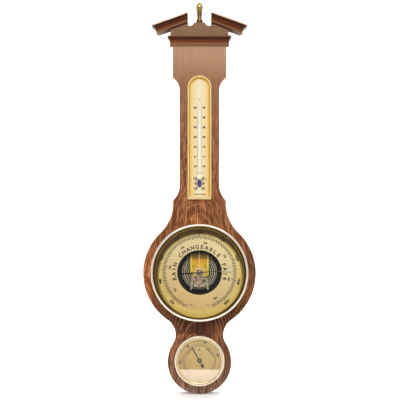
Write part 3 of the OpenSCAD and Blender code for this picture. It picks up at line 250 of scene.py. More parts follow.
def stained_wood(name, tints, patches, flow, pith, lean, turn=(0, 0, 0), rough=0.42, streaks=0.85):
    """Flat-sawn stained wood: rings round a leaning pith give the pointed arches of the grain.
    tints and flow run from the foot of the object to its top. streaks is the grain's strength."""
    wood = Finish(name, tints[0][1], coat=0.06, coat_rough=0.28, specular=0.2)
    place = wood.space()
    height = wood.levels(wood.part(place, "Z"), cad_box[0][2], cad_box[1][2])
    wander = wood.noise(wood.space(turn=turn, stretch=(26, 26, 7)), 3.0, 0.55)
    log = wood.mapping(wood.space(move=pith, turn=turn), Rotation=(radians(lean), 0, 0))
    rings = wood.waves(log, RING_SCALE, "Z", {
        "Distortion": 7.0, "Detail": 3.0, "Detail Scale": 0.1, "Detail Roughness": 0.55}, "SAW")
    run = wood.space(turn=turn)
    if flow:
        spread = wood.ramp(height, [(at, (share, share, share, 1)) for at, share in flow])
        run = wood.add("CombineXYZ", {
            "X": wood.math("DIVIDE", wood.part(place, "X"), wood.times(spread, FLOW_SCALE)),
            "Y": wood.part(place, "Y"), "Z": wood.part(place, "Z"),
        }).outputs[0]
    wide, fine, pores = (
        wood.noise(wood.mapping(run, Scale=(across, across, along)), detail, roughness)
        for across, along, detail, roughness in (WIDE_FIBRES, FINE_FIBRES, PORES))
    lively = wood.levels(height, CALM_FROM, CALM_TO, streaks, CALM_SHARE * streaks)

    color = wood.ramp(height, tints)
    ragged = wood.times(wood.math("SUBTRACT", wander, 0.5), 1.4)
    # Paler and darker patches, partly painted light and shade.
    for tint, (x, z), (across, along), share in patches:
        patch = wood.space(move=(x * MM, 0, z * MM), stretch=(1000 / across, 0, 1000 / along))
        edge = wood.math("ADD", wood.length(patch), ragged)
        color = wood.mix(color, tint, wood.levels(edge, 0.35, 1.15, share, 0.0))
    dark = wood.math(
        "ADD", wood.levels(wide, 0.48, 0.58, 0.0, 0.6), wood.levels(fine, 0.47, 0.56, 0.0, 1.1))
    color = wood.tone(color, FIBRE_SHADE, wood.times(dark, lively))
    light = wood.math(
        "ADD", wood.levels(wide, 0.5, 0.36, 0.0, 0.5), wood.levels(fine, 0.48, 0.38, 0.0, 0.8))
    color = wood.tone(color, FIBRE_LIGHT, wood.times(light, lively))
    shown = wood.times(wood.levels(wander, 0.43, 0.54), lively)
    color = wood.mix(color, ARCH_LINE, wood.times(wood.levels(rings, 0.91, 0.97), shown))
    color = wood.tone(color, PORE_SHADE, wood.times(wood.levels(pores, 0.56, 0.66, 0.0, 0.9), lively))
    wood.bump(wood.times(wood.math("ADD", pores, wood.times(wide, 0.6)), lively), GRAIN_DEPTH)
    return wood.paint(color=color, rough=wood.levels(fine, 0.3, 0.7, rough - 0.06, rough + 0.12))


# The mouldings: the height of their fillets, the plane of their front, and how far back from it the upper
# fillet's painted highlight is still full, and where that ends.
MOULDING_FILLET = 2.5 * MM
MOULDING_FRONT = front("pediment_rail_left")
HIGHLIGHT_FULL, HIGHLIGHT_END = 0.8 * MM, 2 * MM
# The colour of the painted highlight on the upper fillet's front edge.
CREST_HIGHLIGHT = ink(232, 214, 202)
# The undersides: a dark tone of painted shade by the tympanum, and a pale grey tone of painted sheen further
# out.
UNDERSIDE_SHADE_AND_SHEEN = ink(104, 80, 62), ink(176, 154, 138)
MOULDING_GRAIN_DEPTH = 0.08 * MM


def moulding_wood(name, start, rake, height, crest, fillet, bare_sheen=None):
    """The stained mouldings: a dark hollow between two paler fillets, with the grain along the run. The
    hollow is stained darker and darkens further with painted shade under the upper fillet. crest is how much
    of the upper fillet's front edge has a painted highlight, and fillet is the lower one's colour. Below the
    lower fillet the wood is unlacquered, with painted shade near the middle that turns into a painted grey
    sheen between the two x values of its last argument."""
    wood = Finish(name, ink(96, 48, 22), coat_rough=0.22)
    turn = (0, rake, 0)
    across = wood.part(wood.space(move=start, turn=turn), "Z")
    low = MOULDING_FILLET / height
    # The hollow darkens towards the upper fillet: a darker stain, and painted shade under the fillet.
    color = wood.ramp(wood.levels(across, 0.0, height), [
        (0.0, fillet), (low, fillet), (low + 0.01, ink(112, 64, 30)), (0.36, ink(118, 64, 24)),
        (0.52, ink(94, 46, 14)), (0.7, ink(66, 30, 8)), (0.99 - low, ink(54, 25, 8)),
        (1.0 - low, ink(96, 58, 32)), (1.0, ink(128, 82, 52)),
    ])
    # Painted highlight along the upper fillet's front edge.
    front_edge = wood.levels(
        wood.part(wood.space(), "Y"), MOULDING_FRONT + HIGHLIGHT_FULL, MOULDING_FRONT + HIGHLIGHT_END, 1.0, 0.0)
    top_edge = wood.levels(across, height - crest - 0.15 * MM, height - crest)
    color = wood.mix(color, CREST_HIGHLIGHT, wood.times(front_edge, top_edge))
    fibre = wood.noise(wood.space(move=start, turn=turn, stretch=(22, 700, 700)), 4.0, 0.6)
    streaks = wood.noise(wood.space(move=start, turn=turn, stretch=(9, 260, 260)))
    color = wood.tone(color, (1.9, 1.6, 1.25, 1), wood.levels(streaks, 0.48, 0.62, 0.0, 0.6))
    color = wood.tone(color, (0.5, 0.4, 0.32, 1), wood.levels(fibre, 0.46, 0.62, 0.0, 0.8))
    lacquer = wood.levels(across, 0.03 * MM, 0.08 * MM)
    if bare_sheen:
        # Painted shade near the middle turns into a painted grey sheen further out.
        under = wood.mix(*UNDERSIDE_SHADE_AND_SHEEN, wood.levels(wood.part(wood.space(), "X"), *bare_sheen))
        under = wood.tone(under, (0.7, 0.6, 0.54, 1), wood.levels(fibre, 0.4, 0.7))
        color = wood.mix(under, color, lacquer)
    wood.bump(fibre, MOULDING_GRAIN_DEPTH)
    return wood.paint(
        color=color, coat=wood.times(lacquer, 0.05), specular=wood.times(lacquer, 0.16),
        rough=wood.levels(fibre, 0.3, 0.7, 0.36, 0.52))


TURNING_PITCH = 0.35 * MM
TURNING_DEPTH = 0.012 * MM


def turned_metal(name, color, rough, centre=None, worn=0.08, rim=(1, 1, 1, 1), zones=None, axis=None,
                 metallic=1.0):
    """Polished or satin metal. With a centre, fine turning lines run round it. rim tints the grazing
    reflections. zones are colours at distances: from the centre's axis, or along the named axis."""
    metal = Finish(name, color, metal=metallic, rim=rim, specular=0.2)
    cloud = metal.noise(metal.space(stretch=(60, 60, 60)), 4.0, 0.6)
    if zones:
        away = metal.part(metal.space(), axis) if axis else metal.reach(centre)
        near, far = zones[0][0], zones[-1][0]
        color = metal.ramp(
            metal.levels(away, near, far), [((at - near) / (far - near), tint) for at, tint in zones])
    if centre is None:
        lines = metal.noise(metal.space(stretch=(900, 900, 900)), 2.0)
    else:
        lines = metal.waves(
            metal.space(move=centre), WAVE_LENGTH / TURNING_PITCH, "Y", {"Distortion": 0.6, "Detail": 1.0})
    metal.bump(lines, TURNING_DEPTH)
    return metal.paint(
        color=metal.tone(color, (0.72, 0.66, 0.6, 1), metal.levels(cloud, 0.4, 0.75, 0.0, 0.35)),
        rough=metal.levels(cloud, 0.3, 0.7, rough, rough + worn))


BRUSHING_DEPTH = 0.006 * MM
METAL_DEPTH = 0.01 * MM
# A dial is darker and browner towards its foot, painted shade as if lit from the upper right, along a line
# that leans by this many degrees.
DIAL_LEAN = -18
DIAL_FOOT_SHADE = (0.78, 0.63, 0.46, 1)
# Painted shadow of the bezel over the dial's top, past an arc: the arc's middle, and where the shadow starts
# and is full, in radii of the dial.
SHADOW_MIDDLE = (0.02, -0.1)
SHADOW_FROM, SHADOW_TO = 1.01, 1.08
BEZEL_SHADOW_TINT = (0.12, 0.085, 0.03, 1)


def brushed_dial(name, centre, color, edge_color, edge, radius, dimmed=0.0):
    """A satin gold dial with fine upright brushing, of a richer colour from edge to radius, with painted
    shade towards its foot. The last argument is how strongly a painted shadow of the bezel darkens its top."""
    dial = Finish(name, color, metal=0.35, specular=0.3)
    brushing = dial.noise(dial.space(stretch=(2600, 50, 55)), 3.0, 0.6)
    cloud = dial.noise(dial.space(stretch=(22, 22, 22)))
    fall = dial.levels(dial.part(dial.space(move=centre, turn=(0, DIAL_LEAN, 0)), "Z"), -radius, radius)
    # Painted shade: darker and browner towards the dial's foot.
    shade = dial.tone(color, dial.ramp(fall, [(0.0, DIAL_FOOT_SHADE), (0.75, (1, 1, 1, 1))]), 1.0)
    shade = dial.mix(shade, edge_color, dial.levels(dial.reach(centre), edge, radius))
    shade = dial.tone(shade, (0.8, 0.75, 0.66, 1), dial.levels(brushing, 0.4, 0.7, 0.0, 0.4))
    shade = dial.tone(shade, (1.08, 1.06, 1.02, 1), dial.levels(cloud, 0.4, 0.6))
    # Painted shadow of the bezel over the dial's top.
    if dimmed:
        arc = dial.reach((centre.x + SHADOW_MIDDLE[0] * radius, 0, centre.z + SHADOW_MIDDLE[1] * radius))
        shade = dial.tone(
            shade, BEZEL_SHADOW_TINT, dial.levels(arc, SHADOW_FROM * radius, SHADOW_TO * radius, 0.0, dimmed))
    dial.bump(brushing, BRUSHING_DEPTH)
    return dial.paint(color=shade, rough=dial.levels(brushing, 0.3, 0.7, 0.36, 0.46))


PAINT_DEPTH = 0.008 * MM


def enamel(name, color, rough=0.35, speckle=0.06, grain=700, **sockets):
    """Paint, plastic or printing ink with a faint uneven tone and an orange-peel surface."""
    coat = Finish(name, color, **sockets)
    cloud = coat.noise(coat.space(stretch=(grain, grain, grain)))
    dull = 1 - 4 * speckle
    coat.bump(cloud, PAINT_DEPTH)
    return coat.paint(
        color=coat.tone(color, (dull, dull, dull, 1), coat.levels(cloud, 0.35, 0.7, 0.0, 0.8)),
        rough=coat.levels(cloud, 0.3, 0.7, rough, rough + 0.12))


def clear_glass(name, share):
    """Cover glass: mostly open, with a mirror-smooth share that reflects the room."""
    glass = Finish(name, (0.97, 1.0, 0.99, 1), metal=1.0, rough=0.01, alpha=share)
    haze = glass.noise(glass.space(stretch=(90, 90, 90)), 2.0)
    return glass.paint(rough=glass.levels(haze, 0.4, 0.7, 0.006, 0.02))


# Making pieces.


def finish_mesh(bm, name, material, body, smooth=40.0, bevel=0.0, node=None):
    """A bmesh made into a piece that rides on a body, smooth up to an edge angle in degrees.
    bevel softens its sharp edges by that width, and node is the CAD node that it stands for."""
    mesh = bpy.data.meshes.new(name)
    bm.to_mesh(mesh)
    bm.free()
    if mesh.has_custom_normals:
        mesh.attributes.remove(mesh.attributes["custom_normal"])
    mesh.shade_smooth()
    mesh.set_sharp_from_angle(angle=radians(smooth))
    mesh.materials.clear()
    mesh.materials.append(material)
    piece = bpy.data.objects.new(name, mesh)
    bpy.context.scene.collection.objects.link(piece)
    if bevel:
        edge = piece.modifiers.new("edges", "BEVEL")
        edge.width = bevel
        edge.segments = 2
        edge.limit_method = "ANGLE"
        edge.angle_limit = radians(smooth)
        edge.harden_normals = True
    if node:
        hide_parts(node)
    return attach(piece, body)


def dress(node, material, smooth=40.0, bevel=0.0):
    """A merged, smooth copy of a CAD node stands for it, with softened edges."""
    source = frame["nodes"][node]
    bm = bmesh.new()
    bm.from_mesh(source.data)
    bmesh.ops.remove_doubles(bm, verts=bm.verts, dist=0.002 * MM)
    if bevel:
        bmesh.ops.dissolve_limit(bm, angle_limit=radians(0.5), verts=bm.verts, edges=bm.edges)
    return finish_mesh(
        bm, node + "_finished", material, source["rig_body"], smooth, bevel, node)


class Printing:
    """Raised ink on a dial or scale. centre is where its radii and shifts start from, and ground is the y
    value of the face that it lies on."""
    film = 0.03 * MM
    arc_step = 4.0

    def __init__(self, centre, ground):
        self.bm = bmesh.new()
        self.place = Matrix.Translation((centre.x, ground, centre.z))
        self.stand = Matrix.Rotation(pi / 2, 4, "X")

    def add_mesh(self, mesh, turn=0.0, shift=(0, 0)):
        """Add a flat mesh. turn is in degrees clockwise from the top, and shift is (across, up) before it."""
        step = Matrix.Rotation(radians(-turn), 4, "Z") @ Matrix.Translation((shift[0], shift[1], 0))
        mesh.transform(self.place @ self.stand @ step)
        self.bm.from_mesh(mesh)
        bpy.data.meshes.remove(mesh)

    def add_form(self, bm, turn=0.0, shift=(0, 0)):
        mesh = bpy.data.meshes.new("form")
        bm.to_mesh(mesh)
        bm.free()
        self.add_mesh(mesh, turn, shift)

    def add_curve(self, curve, turn=0.0, shift=(0, 0), thickness=1.0):
        """Add a text or a curve as a mesh, with its thickness scaled."""
        holder = bpy.data.objects.new(curve.name, curve)
        mesh = bpy.data.meshes.new_from_object(holder)
        mesh.transform(Matrix.Diagonal((1, 1, thickness, 1)))
        bpy.data.objects.remove(holder)
        bpy.data.curves.remove(curve)
        self.add_mesh(mesh, turn, shift)

    def letters(self, words, height, turn=0.0, shift=(0, 0), bold=0.0):
        text = bpy.data.curves.new("letters", "FONT")
        text.body = words
        text.size = height
        text.align_x = "CENTER"
        text.align_y = "CENTER"
        text.extrude = self.film
        text.offset = bold
        text.resolution_u = 2
        self.add_curve(text, turn, shift)

    def arched_word(self, word, height, radius, start, end, bold=0.0):
        """A word spread along an arc, one letter at a time."""
        step = (end - start) / (len(word) - 1)
        for index, letter in enumerate(word):
            self.letters(letter, height, start + step * index, (0, radius), bold=bold)

    def bar(self, width, height, turn=0.0, shift=(0, 0)):
        bm = bmesh.new()
        bmesh.ops.create_cube(bm, size=1, matrix=Matrix.Diagonal((width, height, self.film, 1)))
        self.add_form(bm, turn, shift)

    def stroke(self, points, width):
        """A rounded line through points, which tapers towards both ends."""
        curve = bpy.data.curves.new("stroke", "CURVE")
        curve.dimensions = "3D"
        curve.bevel_depth = width / 2
        curve.bevel_resolution = 1
        curve.use_fill_caps = True
        line = curve.splines.new("POLY")
        line.points.add(len(points) - 1)
        for index, (across, up) in enumerate(points):
            line.points[index].co = (across, up, 0, 1)
            along = (index + 0.5) / len(points)
            line.points[index].radius = 0.35 + 0.75 * sin(pi * along)
        self.add_curve(curve, thickness=2 * self.film / width)

    def arc(self, radius, width, start, end):
        """A line round the middle, from start to end in degrees clockwise from the top."""
        bm = bmesh.new()
        unit_square = Matrix.Rotation(pi / 4, 4, "Z")
        bmesh.ops.create_circle(bm, segments=4, radius=0.5 ** 0.5, cap_ends=True, matrix=(
            Matrix.Rotation(radians(-start), 4, "Z") @ Matrix.Translation((0, radius, 0))
            @ Matrix.Rotation(pi / 2, 4, "Y") @ Matrix.Diagonal((self.film, width, 1, 1)) @ unit_square))
        bmesh.ops.spin(bm, geom=bm.verts[:] + bm.edges[:] + bm.faces[:], cent=(0, 0, 0), axis=(0, 0, 1),
                       angle=radians(start - end), steps=round(abs(end - start) / self.arc_step))
        bmesh.ops.remove_doubles(bm, verts=bm.verts, dist=0.001 * MM)
        bmesh.ops.recalc_face_normals(bm, faces=bm.faces)
        self.add_form(bm)

    def done(self, name, material):
        finish_mesh(self.bm, name, material, "case", smooth=30.0)


def tick(value, tenth, fifth, other):
    """How long a tick is, by the number that it stands for: three lengths in mm."""
    return (tenth if value % 10 == 0 else fifth if value % 5 == 0 else other) * MM


# The board, its mouldings and the finial.

board_wood = stained_wood(
    "stained board", BOARD_STAIN_AND_SHEEN, BOARD_FIGURE_AND_SHADING, BOARD_FLOW, pith=(-0.003, 0.03, -0.5), lean=9)
TYMPANUM_STAIN = ink(150, 112, 82)
tympanum_wood = stained_wood(
    "stained tympanum", [(0.0, TYMPANUM_STAIN), (1.0, TYMPANUM_STAIN)], [], [],
    pith=(0.0, 0.05, 0.06), lean=3, turn=(0, 90, 0), rough=0.5, streaks=0.6)
dress("case_board", board_wood, bevel=0.7 * MM)
dress("tympanum_board", tympanum_wood, bevel=0.4 * MM)

MOULDING_EDGE = 0.3 * MM
cornice_low, cornice_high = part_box("cornice_front")
# The cornice's upper fillet gets only a thin painted highlight.
cornice_wood = moulding_wood(
    "stained cornice", Vector((0, 0, cornice_low.z)), 0, cornice_high.z - cornice_low.z, 0.1 * MM,
    ink(154, 106, 74))
for node in ("cornice_front", "cornice_return_left", "cornice_return_right"):
    dress(node, cornice_wood, bevel=MOULDING_EDGE)

# The rails: their slope in degrees, their height across the slope, and how far out from the middle and up
# from the block's top their lower edges start.
RAKE = 20.0
RAIL_HEIGHT = 14.3 * MM
RAIL_START_OUT, RAIL_START_UP = 18.1 * MM, 21.8 * MM
# Their unlacquered undersides turn from painted shade near the middle to a paler, painted grey sheen between
# these distances from the middle.
SHEEN_FROM, SHEEN_TO = 40 * MM, 72 * MM
block_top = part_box("case_board")[1].z
# The left rail's upper fillet gets a wider painted highlight than the right one's.
for hand, side, crest in (("left", -1, 2.3 * MM), ("right", 1, 1.9 * MM)):
    rail_wood = moulding_wood(
        f"stained {hand} rail", Vector((side * RAIL_START_OUT, 0, block_top + RAIL_START_UP)), -side * RAKE,
        RAIL_HEIGHT, crest, ink(146, 102, 70), bare_sheen=(side * SHEEN_FROM, side * SHEEN_TO))
    dress("pediment_rail_" + hand, rail_wood, bevel=MOULDING_EDGE)

cast_brass = turned_metal("cast brass", (0.58, 0.42, 0.16, 1), 0.22, rim=(0.12, 0.08, 0.03, 1))
aged_brass = turned_metal("aged brass", (0.2, 0.12, 0.045, 1), 0.26, rim=(0.1, 0.06, 0.03, 1))
dress("finial", cast_brass, smooth=35, bevel=0.15 * MM)
dress("finial_base_ring", aged_brass, smooth=35)

steel = turned_metal("turned steel", (0.62, 0.62, 0.61, 1), 0.24)
zinc = enamel("zinc plate", (0.5, 0.51, 0.53, 1), rough=0.35, metal=1.0)
dress("hanger_plate", zinc, bevel=0.15 * MM)
dress("hanger_screws", steel, bevel=0.1 * MM)
dress("finial_stud", steel)

# The thermometer.

FRAME_BORDER = 5.2 * MM
BULB_TOP = -184.5 * MM


def gilt_frame():
    """The arched frame: a bright rim, a gold bevel darkened under the arch by painted shade, and a paler
    foot.
    """
    low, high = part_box("thermometer_frame")
    arch = (high.x - low.x) / 2
    gold = Finish("gilt frame", (0.95, 0.8, 0.5, 1), metal=0.15, specular=0.5)
    place = gold.space()
    height = gold.part(place, "Z")
    above = gold.math("MAXIMUM", gold.math("SUBTRACT", height, high.z - arch), 0.0)
    away = gold.length(gold.add("CombineXYZ", {"X": gold.part(place, "X"), "Z": above}).outputs[0])
    inward = gold.levels(away, arch, arch - FRAME_BORDER)
    color = gold.ramp(inward, [
        (0.0, ink(255, 246, 196)), (0.24, ink(255, 240, 176)), (0.32, ink(218, 160, 28)),
        (0.58, ink(212, 152, 18)), (0.7, ink(255, 208, 84)), (1.0, ink(255, 220, 108)),
    ])
    # Painted shade: the gold bevel darkens under the top of the arch.
    color = gold.mix(color, ink(206, 148, 20), gold.times(
        gold.levels(height, high.z - 16 * MM, high.z - 3 * MM, 0.0, 0.9), gold.levels(inward, 0.28, 0.36)))
    color = gold.mix(
        color, ink(250, 222, 160), gold.levels(height, low.z + 4.6 * MM, low.z + 4.2 * MM))
    cloud = gold.noise(gold.space(stretch=(60, 60, 60)), 4.0, 0.6)
    gold.bump(gold.noise(gold.space(stretch=(900, 900, 900)), 2.0), TURNING_DEPTH)
    return gold.paint(
        color=gold.tone(color, (0.8, 0.76, 0.7, 1), gold.levels(cloud, 0.4, 0.75, 0.0, 0.35)),
        rough=gold.levels(cloud, 0.3, 0.7, 0.3, 0.42))


def cream_enamel():
    """The scale's enamel, lighter down its middle."""
    cream = Finish("cream enamel", ink(255, 226, 166), specular=0.4)
    cloud = cream.noise(cream.space(stretch=(400, 400, 400)))
    across = cream.math("ABSOLUTE", cream.part(cream.space(), "X"))
    color = cream.ramp(cream.levels(across, 0.0, 13 * MM), [
        (0.0, ink(255, 245, 214)), (0.55, ink(255, 233, 180)), (1.0, ink(255, 224, 154)),
    ])
    cream.bump(cloud, PAINT_DEPTH)
    return cream.paint(
        color=cream.tone(color, (0.9, 0.88, 0.84, 1), cream.levels(cloud, 0.4, 0.7, 0.0, 0.5)),
        rough=cream.levels(cloud, 0.35, 0.7, 0.3, 0.42))


def tube_glass():
    """The tube: white-backed above, and clear round the bulb. It glows faintly, painted light that brightens
    its shaded sides.
    """
    # The faint glow is painted light on the tube.
    tube = Finish("tube glass", (1.0, 0.98, 0.92, 1), coat=0.5, coat_rough=0.05,
                  glow_color=(1.0, 0.96, 0.86, 1), glow=0.1)
    tube.bump(tube.noise(tube.space(stretch=(500, 500, 60)), 2.0), BRUSHING_DEPTH)
    return tube.paint(
        rough=tube.levels(tube.noise(tube.space(stretch=(300, 300, 300))), 0.3, 0.7, 0.04, 0.1),
        alpha=tube.levels(tube.part(tube.space(), "Z"), BULB_TOP - 1 * MM, BULB_TOP + 1 * MM, 0.03, 0.85))


gilt = turned_metal("bright gilt", (0.95, 0.83, 0.58, 1), 0.3, worn=0.1)
spirit = enamel(
    "blue spirit", ink(18, 16, 140), rough=0.2, speckle=0.02, coat=0.3, coat_rough=0.05, specular=0.3)
dress("thermometer_frame", gilt_frame(), smooth=25, bevel=0.25 * MM)
dress("frame_pins", gilt, bevel=0.1 * MM)
dress("tube_clips", gilt, bevel=0.06 * MM)
dress("thermometer_scale", cream_enamel(), bevel=0.1 * MM)
dress("thermometer_tube", tube_glass())
dress("thermometer_liquid", spirit)

black_ink = enamel("black ink", ink(34, 26, 16), rough=0.5, specular=0.2)
brown_ink = enamel("brown ink", ink(70, 50, 26), rough=0.5, specular=0.2)
red_ink = enamel("red ink", ink(190, 90, 60), rough=0.5)

# The scale's marks: ten degrees, the height of the mark for ten below zero, and how far out from the tube's
# middle the numbers stand and the ticks start.
TEN_DEGREES = 15.17 * MM
TEN_BELOW = -165.2 * MM
NUMBERS_OUT = 6.9 * MM
TICKS_OUT = 2.3 * MM
scale_print = Printing(Vector((0, 0, TEN_BELOW)), front("thermometer_scale"))
for degrees in range(-10, 51, 10):
    up = (degrees + 10) / 10 * TEN_DEGREES
    for side in (-1, 1):
        scale_print.letters(str(abs(degrees)), 4.0 * MM, shift=(side * NUMBERS_OUT, up), bold=0.26 * MM)
for degrees in range(-12, 56):
    up = (degrees + 10) / 10 * TEN_DEGREES
    long = tick(degrees, 2.1, 1.6, 1.1)
    for side in (-1, 1):
        scale_print.bar(long, 0.4 * MM, shift=(side * (TICKS_OUT + long / 2), up))
scale_print.letters("°C", 4.6 * MM, shift=(0, 6.8 * TEN_DEGREES))
scale_print.bar(19 * MM, 0.9 * MM, shift=(0, -43 * MM))


def curl(centre, radius, start, turns, side):
    """Points of a C-scroll that curls inward round a centre. side is -1 for its mirror image."""
    count = 20
    closing = 0.8 / count
    return [
        (centre[0] + side * radius * (1 - closing * k) * cos(start + turns * 2 * pi * k / count),
         centre[1] + radius * (1 - closing * k) * sin(start + turns * 2 * pi * k / count))
        for k in range(count + 1)
    ]


# Plain C-scrolls round the bulb, as on many old scales: middle and radius in mm, start in radians, turns.
SCROLLS = [
    ((6.2, -19.5), 3.2, -0.5, 1.1), ((5.4, -26.2), 2.2, 2.2, -1.1), ((5.8, -33.4), 2.9, 0.6, -1.1),
]
for (out, up), radius, start, turns in SCROLLS:
    for side in (-1, 1):
        scale_print.stroke(curl((side * out * MM, up * MM), radius * MM, start, turns, side), 1.5 * MM)
scale_print.done("thermometer_printing", brown_ink)

# The barometer.

barometer = middle("barometer_dial")
# The bezel's zones paint its reflections: the near-white bead is a painted reflection of the bright room, and
# the dark slope inside it a painted dark reflection.
bezel_brass = turned_metal(
    "bezel brass", (0.94, 0.83, 0.6, 1), 0.16, centre=barometer, rim=(0.5, 0.44, 0.34, 1), metallic=0.55,
    zones=[
        (68.0 * MM, ink(226, 190, 104)), (68.7 * MM, ink(190, 150, 66)), (69.0 * MM, ink(70, 52, 10)),
        (71.9 * MM, ink(66, 48, 14)), (72.4 * MM, ink(255, 246, 228)), (76.0 * MM, ink(255, 244, 224)),
    ])
# The barometer's dial gets a painted shadow of its bezel over its top.
dial_gold = brushed_dial(
    "satin gold dial", barometer, ink(255, 234, 178), ink(255, 226, 128), 56 * MM, 62 * MM, dimmed=1.0)
reflector_gilt = turned_metal("reflector gilt", (0.62, 0.47, 0.2, 1), 0.2, centre=barometer)
dress("barometer_bezel", bezel_brass, smooth=50)
dress("reflector_ring", reflector_gilt, smooth=30)
dress("barometer_dial", dial_gold, bevel=0.15 * MM)
dress("barometer_glass", clear_glass("cover glass", 0.03), smooth=30)

# The dial's two scales: what stands at the top of the outer one, and where 760 mm stands on the inner one,
# with the degrees of turn for a hectopascal and for a millimetre.
TOP_PRESSURE = 1010
HECTOPASCAL = 3.43
TURN_AT_760 = 11.1
MILLIMETRE = 4.57
OUTER_RING, INNER_RING = 55.2 * MM, 54.2 * MM
RING_END = 160
DIAL_TICK = 1.15 * MM
WORD_RADIUS = 39.4 * MM
dial_print = Printing(barometer, front("barometer_dial"))
for pressure in range(964, 1057):
    long = tick(pressure, 3.4, 2.8, 2.2)
    dial_print.bar(DIAL_TICK, long, (pressure - TOP_PRESSURE) * HECTOPASCAL, (0, OUTER_RING + long / 2))
for column in range(725, 793):
    long = tick(column, 3.2, 2.6, 2.0)
    dial_print.bar(DIAL_TICK, long, TURN_AT_760 + (column - 760) * MILLIMETRE, (0, INNER_RING - long / 2))
for radius in (OUTER_RING, INNER_RING):
    dial_print.arc(radius, 0.4 * MM, -RING_END, RING_END)
for pressure in range(970, 1051, 10):
    turn = (pressure - TOP_PRESSURE) * HECTOPASCAL
    dial_print.letters(str(pressure), 5.2 * MM, turn, (0, 62 * MM), bold=0.26 * MM)
for column in range(730, 791, 10):
    turn = TURN_AT_760 + (column - 760) * MILLIMETRE
    dial_print.letters(str(column), 4.2 * MM, turn, (0, 46.2 * MM), bold=0.18 * MM)
for word, start, end in (("RAIN", -104, -72), ("CHANGEABLE", -48, 48), ("FAIR", 72, 104)):
    dial_print.arched_word(word, 8.4 * MM, WORD_RADIUS, start, end, bold=0.24 * MM)
dial_print.letters("hPa", 3.4 * MM, shift=(-13 * MM, -50 * MM))
dial_print.letters("mm", 3.4 * MM, shift=(13 * MM, -50 * MM))
dial_print.done("barometer_printing", black_ink)

# The set hand is black from its tail to the hub, dull over the dial's opening and bright beyond it.
hand_black = enamel("hand black", ink(14, 12, 10), rough=0.4, specular=0.25)
hand_brass = turned_metal("hand brass", ink(255, 240, 200), 0.3, metallic=0.5)
baton_brass = turned_metal("baton brass", ink(255, 240, 200), 0.3, metallic=0.3, axis="X", zones=[
    (-20 * MM, ink(16, 12, 8)), (-2 * MM, ink(16, 12, 8)), (2 * MM, ink(104, 84, 42)),
    (32 * MM, ink(120, 98, 54)), (34 * MM, ink(255, 244, 212)), (60 * MM, ink(255, 244, 212)),
])
knob_metal = turned_metal("knob metal", (0.22, 0.19, 0.16, 1), 0.14, centre=barometer)
dress("indicator_hand", hand_black, bevel=0.06 * MM)
dress("set_hand", baton_brass, bevel=0.06 * MM)
dress("set_hand_stem", hand_brass)
dress("set_hand_knob", knob_metal, smooth=50)
dress("set_hand_washer", steel)

# The bridge: half its width over the rims, the rims' width, and the disc round the hand's arbor.
BRIDGE_HALF = 14.2 * MM
BRIDGE_RIM = 2.6 * MM
HUB_DISC = 7.6 * MM
# The capsule's pressed rings: where the first starts, how far apart they are, and how many.
CAPSULE_CORE = 5.5 * MM
CAPSULE_PITCH = 3.3 * MM
CAPSULE_RINGS = 9


def bridge_brass():
    """The bridge: gold with a painted shadow of the dial over its top, with yellow rims, a painted highlight
    up its middle rib, a pale disc round the arbor, and dark cut edges."""
    brass = Finish("bridge brass", ink(255, 200, 60), metal=0.25, specular=0.3)
    across = brass.math("ABSOLUTE", brass.part(brass.space(), "X"))
    up = brass.levels(brass.part(brass.space(move=barometer), "Z"), -8 * MM, 36 * MM)
    # Painted shadow of the dial: the gold darkens towards the top.
    color = brass.ramp(up, [
        (0.0, ink(255, 216, 70)), (0.45, ink(255, 208, 48)), (0.6, ink(244, 172, 36)),
        (0.68, ink(158, 126, 34)), (1.0, ink(124, 102, 26)),
    ])
    # The rims darken towards the top with the same painted shadow.
    rim_color = brass.ramp(up, [
        (0.0, ink(255, 244, 110)), (0.62, ink(250, 232, 96)), (0.8, ink(150, 134, 60)),
    ])
    rim_start = BRIDGE_HALF - BRIDGE_RIM
    color = brass.mix(color, rim_color, brass.levels(across, rim_start, rim_start + 0.4 * MM))
    # Painted highlight along the middle rib.
    color = brass.mix(color, ink(255, 246, 206), brass.times(
        brass.levels(across, 0.65 * MM, 0.4 * MM), brass.levels(up, 0.34, 0.5)))
    color = brass.mix(color, ink(255, 224, 166), brass.levels(
        brass.reach(barometer), HUB_DISC + 1.4 * MM, HUB_DISC))
    color = brass.mix(color, ink(60, 48, 24), brass.levels(across, BRIDGE_HALF, BRIDGE_HALF + 0.2 * MM))
    brushing = brass.noise(brass.space(stretch=(1400, 60, 60)), 3.0, 0.6)
    brass.bump(brushing, METAL_DEPTH)
    return brass.paint(
        color=brass.tone(color, (0.76, 0.68, 0.56, 1), brass.levels(brushing, 0.45, 0.7, 0.0, 0.5)),
        rough=brass.levels(brushing, 0.3, 0.7, 0.3, 0.42))


def capsule_silver():
    """The capsule: silver on the tops of its rings, and dark in between with painted shade in the hollows."""
    nickel = Finish("nickel silver", (0.9, 0.9, 0.86, 1), metal=0.6, specular=0.3)
    last_ring = CAPSULE_CORE + CAPSULE_RINGS * CAPSULE_PITCH
    rings = nickel.levels(nickel.reach(barometer), CAPSULE_CORE, last_ring, 0.0, CAPSULE_RINGS)
    from_top = nickel.math("ABSOLUTE", nickel.math("SUBTRACT", nickel.math("FRACT", rings), 0.5))
    tarnish = nickel.noise(nickel.space(stretch=(120, 120, 120)))
    silver = nickel.mix((1.0, 0.94, 0.76, 1), (0.84, 0.76, 0.56, 1), tarnish)
    nickel.bump(nickel.noise(nickel.space(stretch=(700, 700, 700)), 2.0), METAL_DEPTH)
    # The dark between the ring tops is painted shade.
    return nickel.paint(
        color=nickel.mix(silver, (0.14, 0.1, 0.035, 1), nickel.levels(from_top, 0.13, 0.3)),
        rough=nickel.levels(tarnish, 0.3, 0.7, 0.26, 0.4))


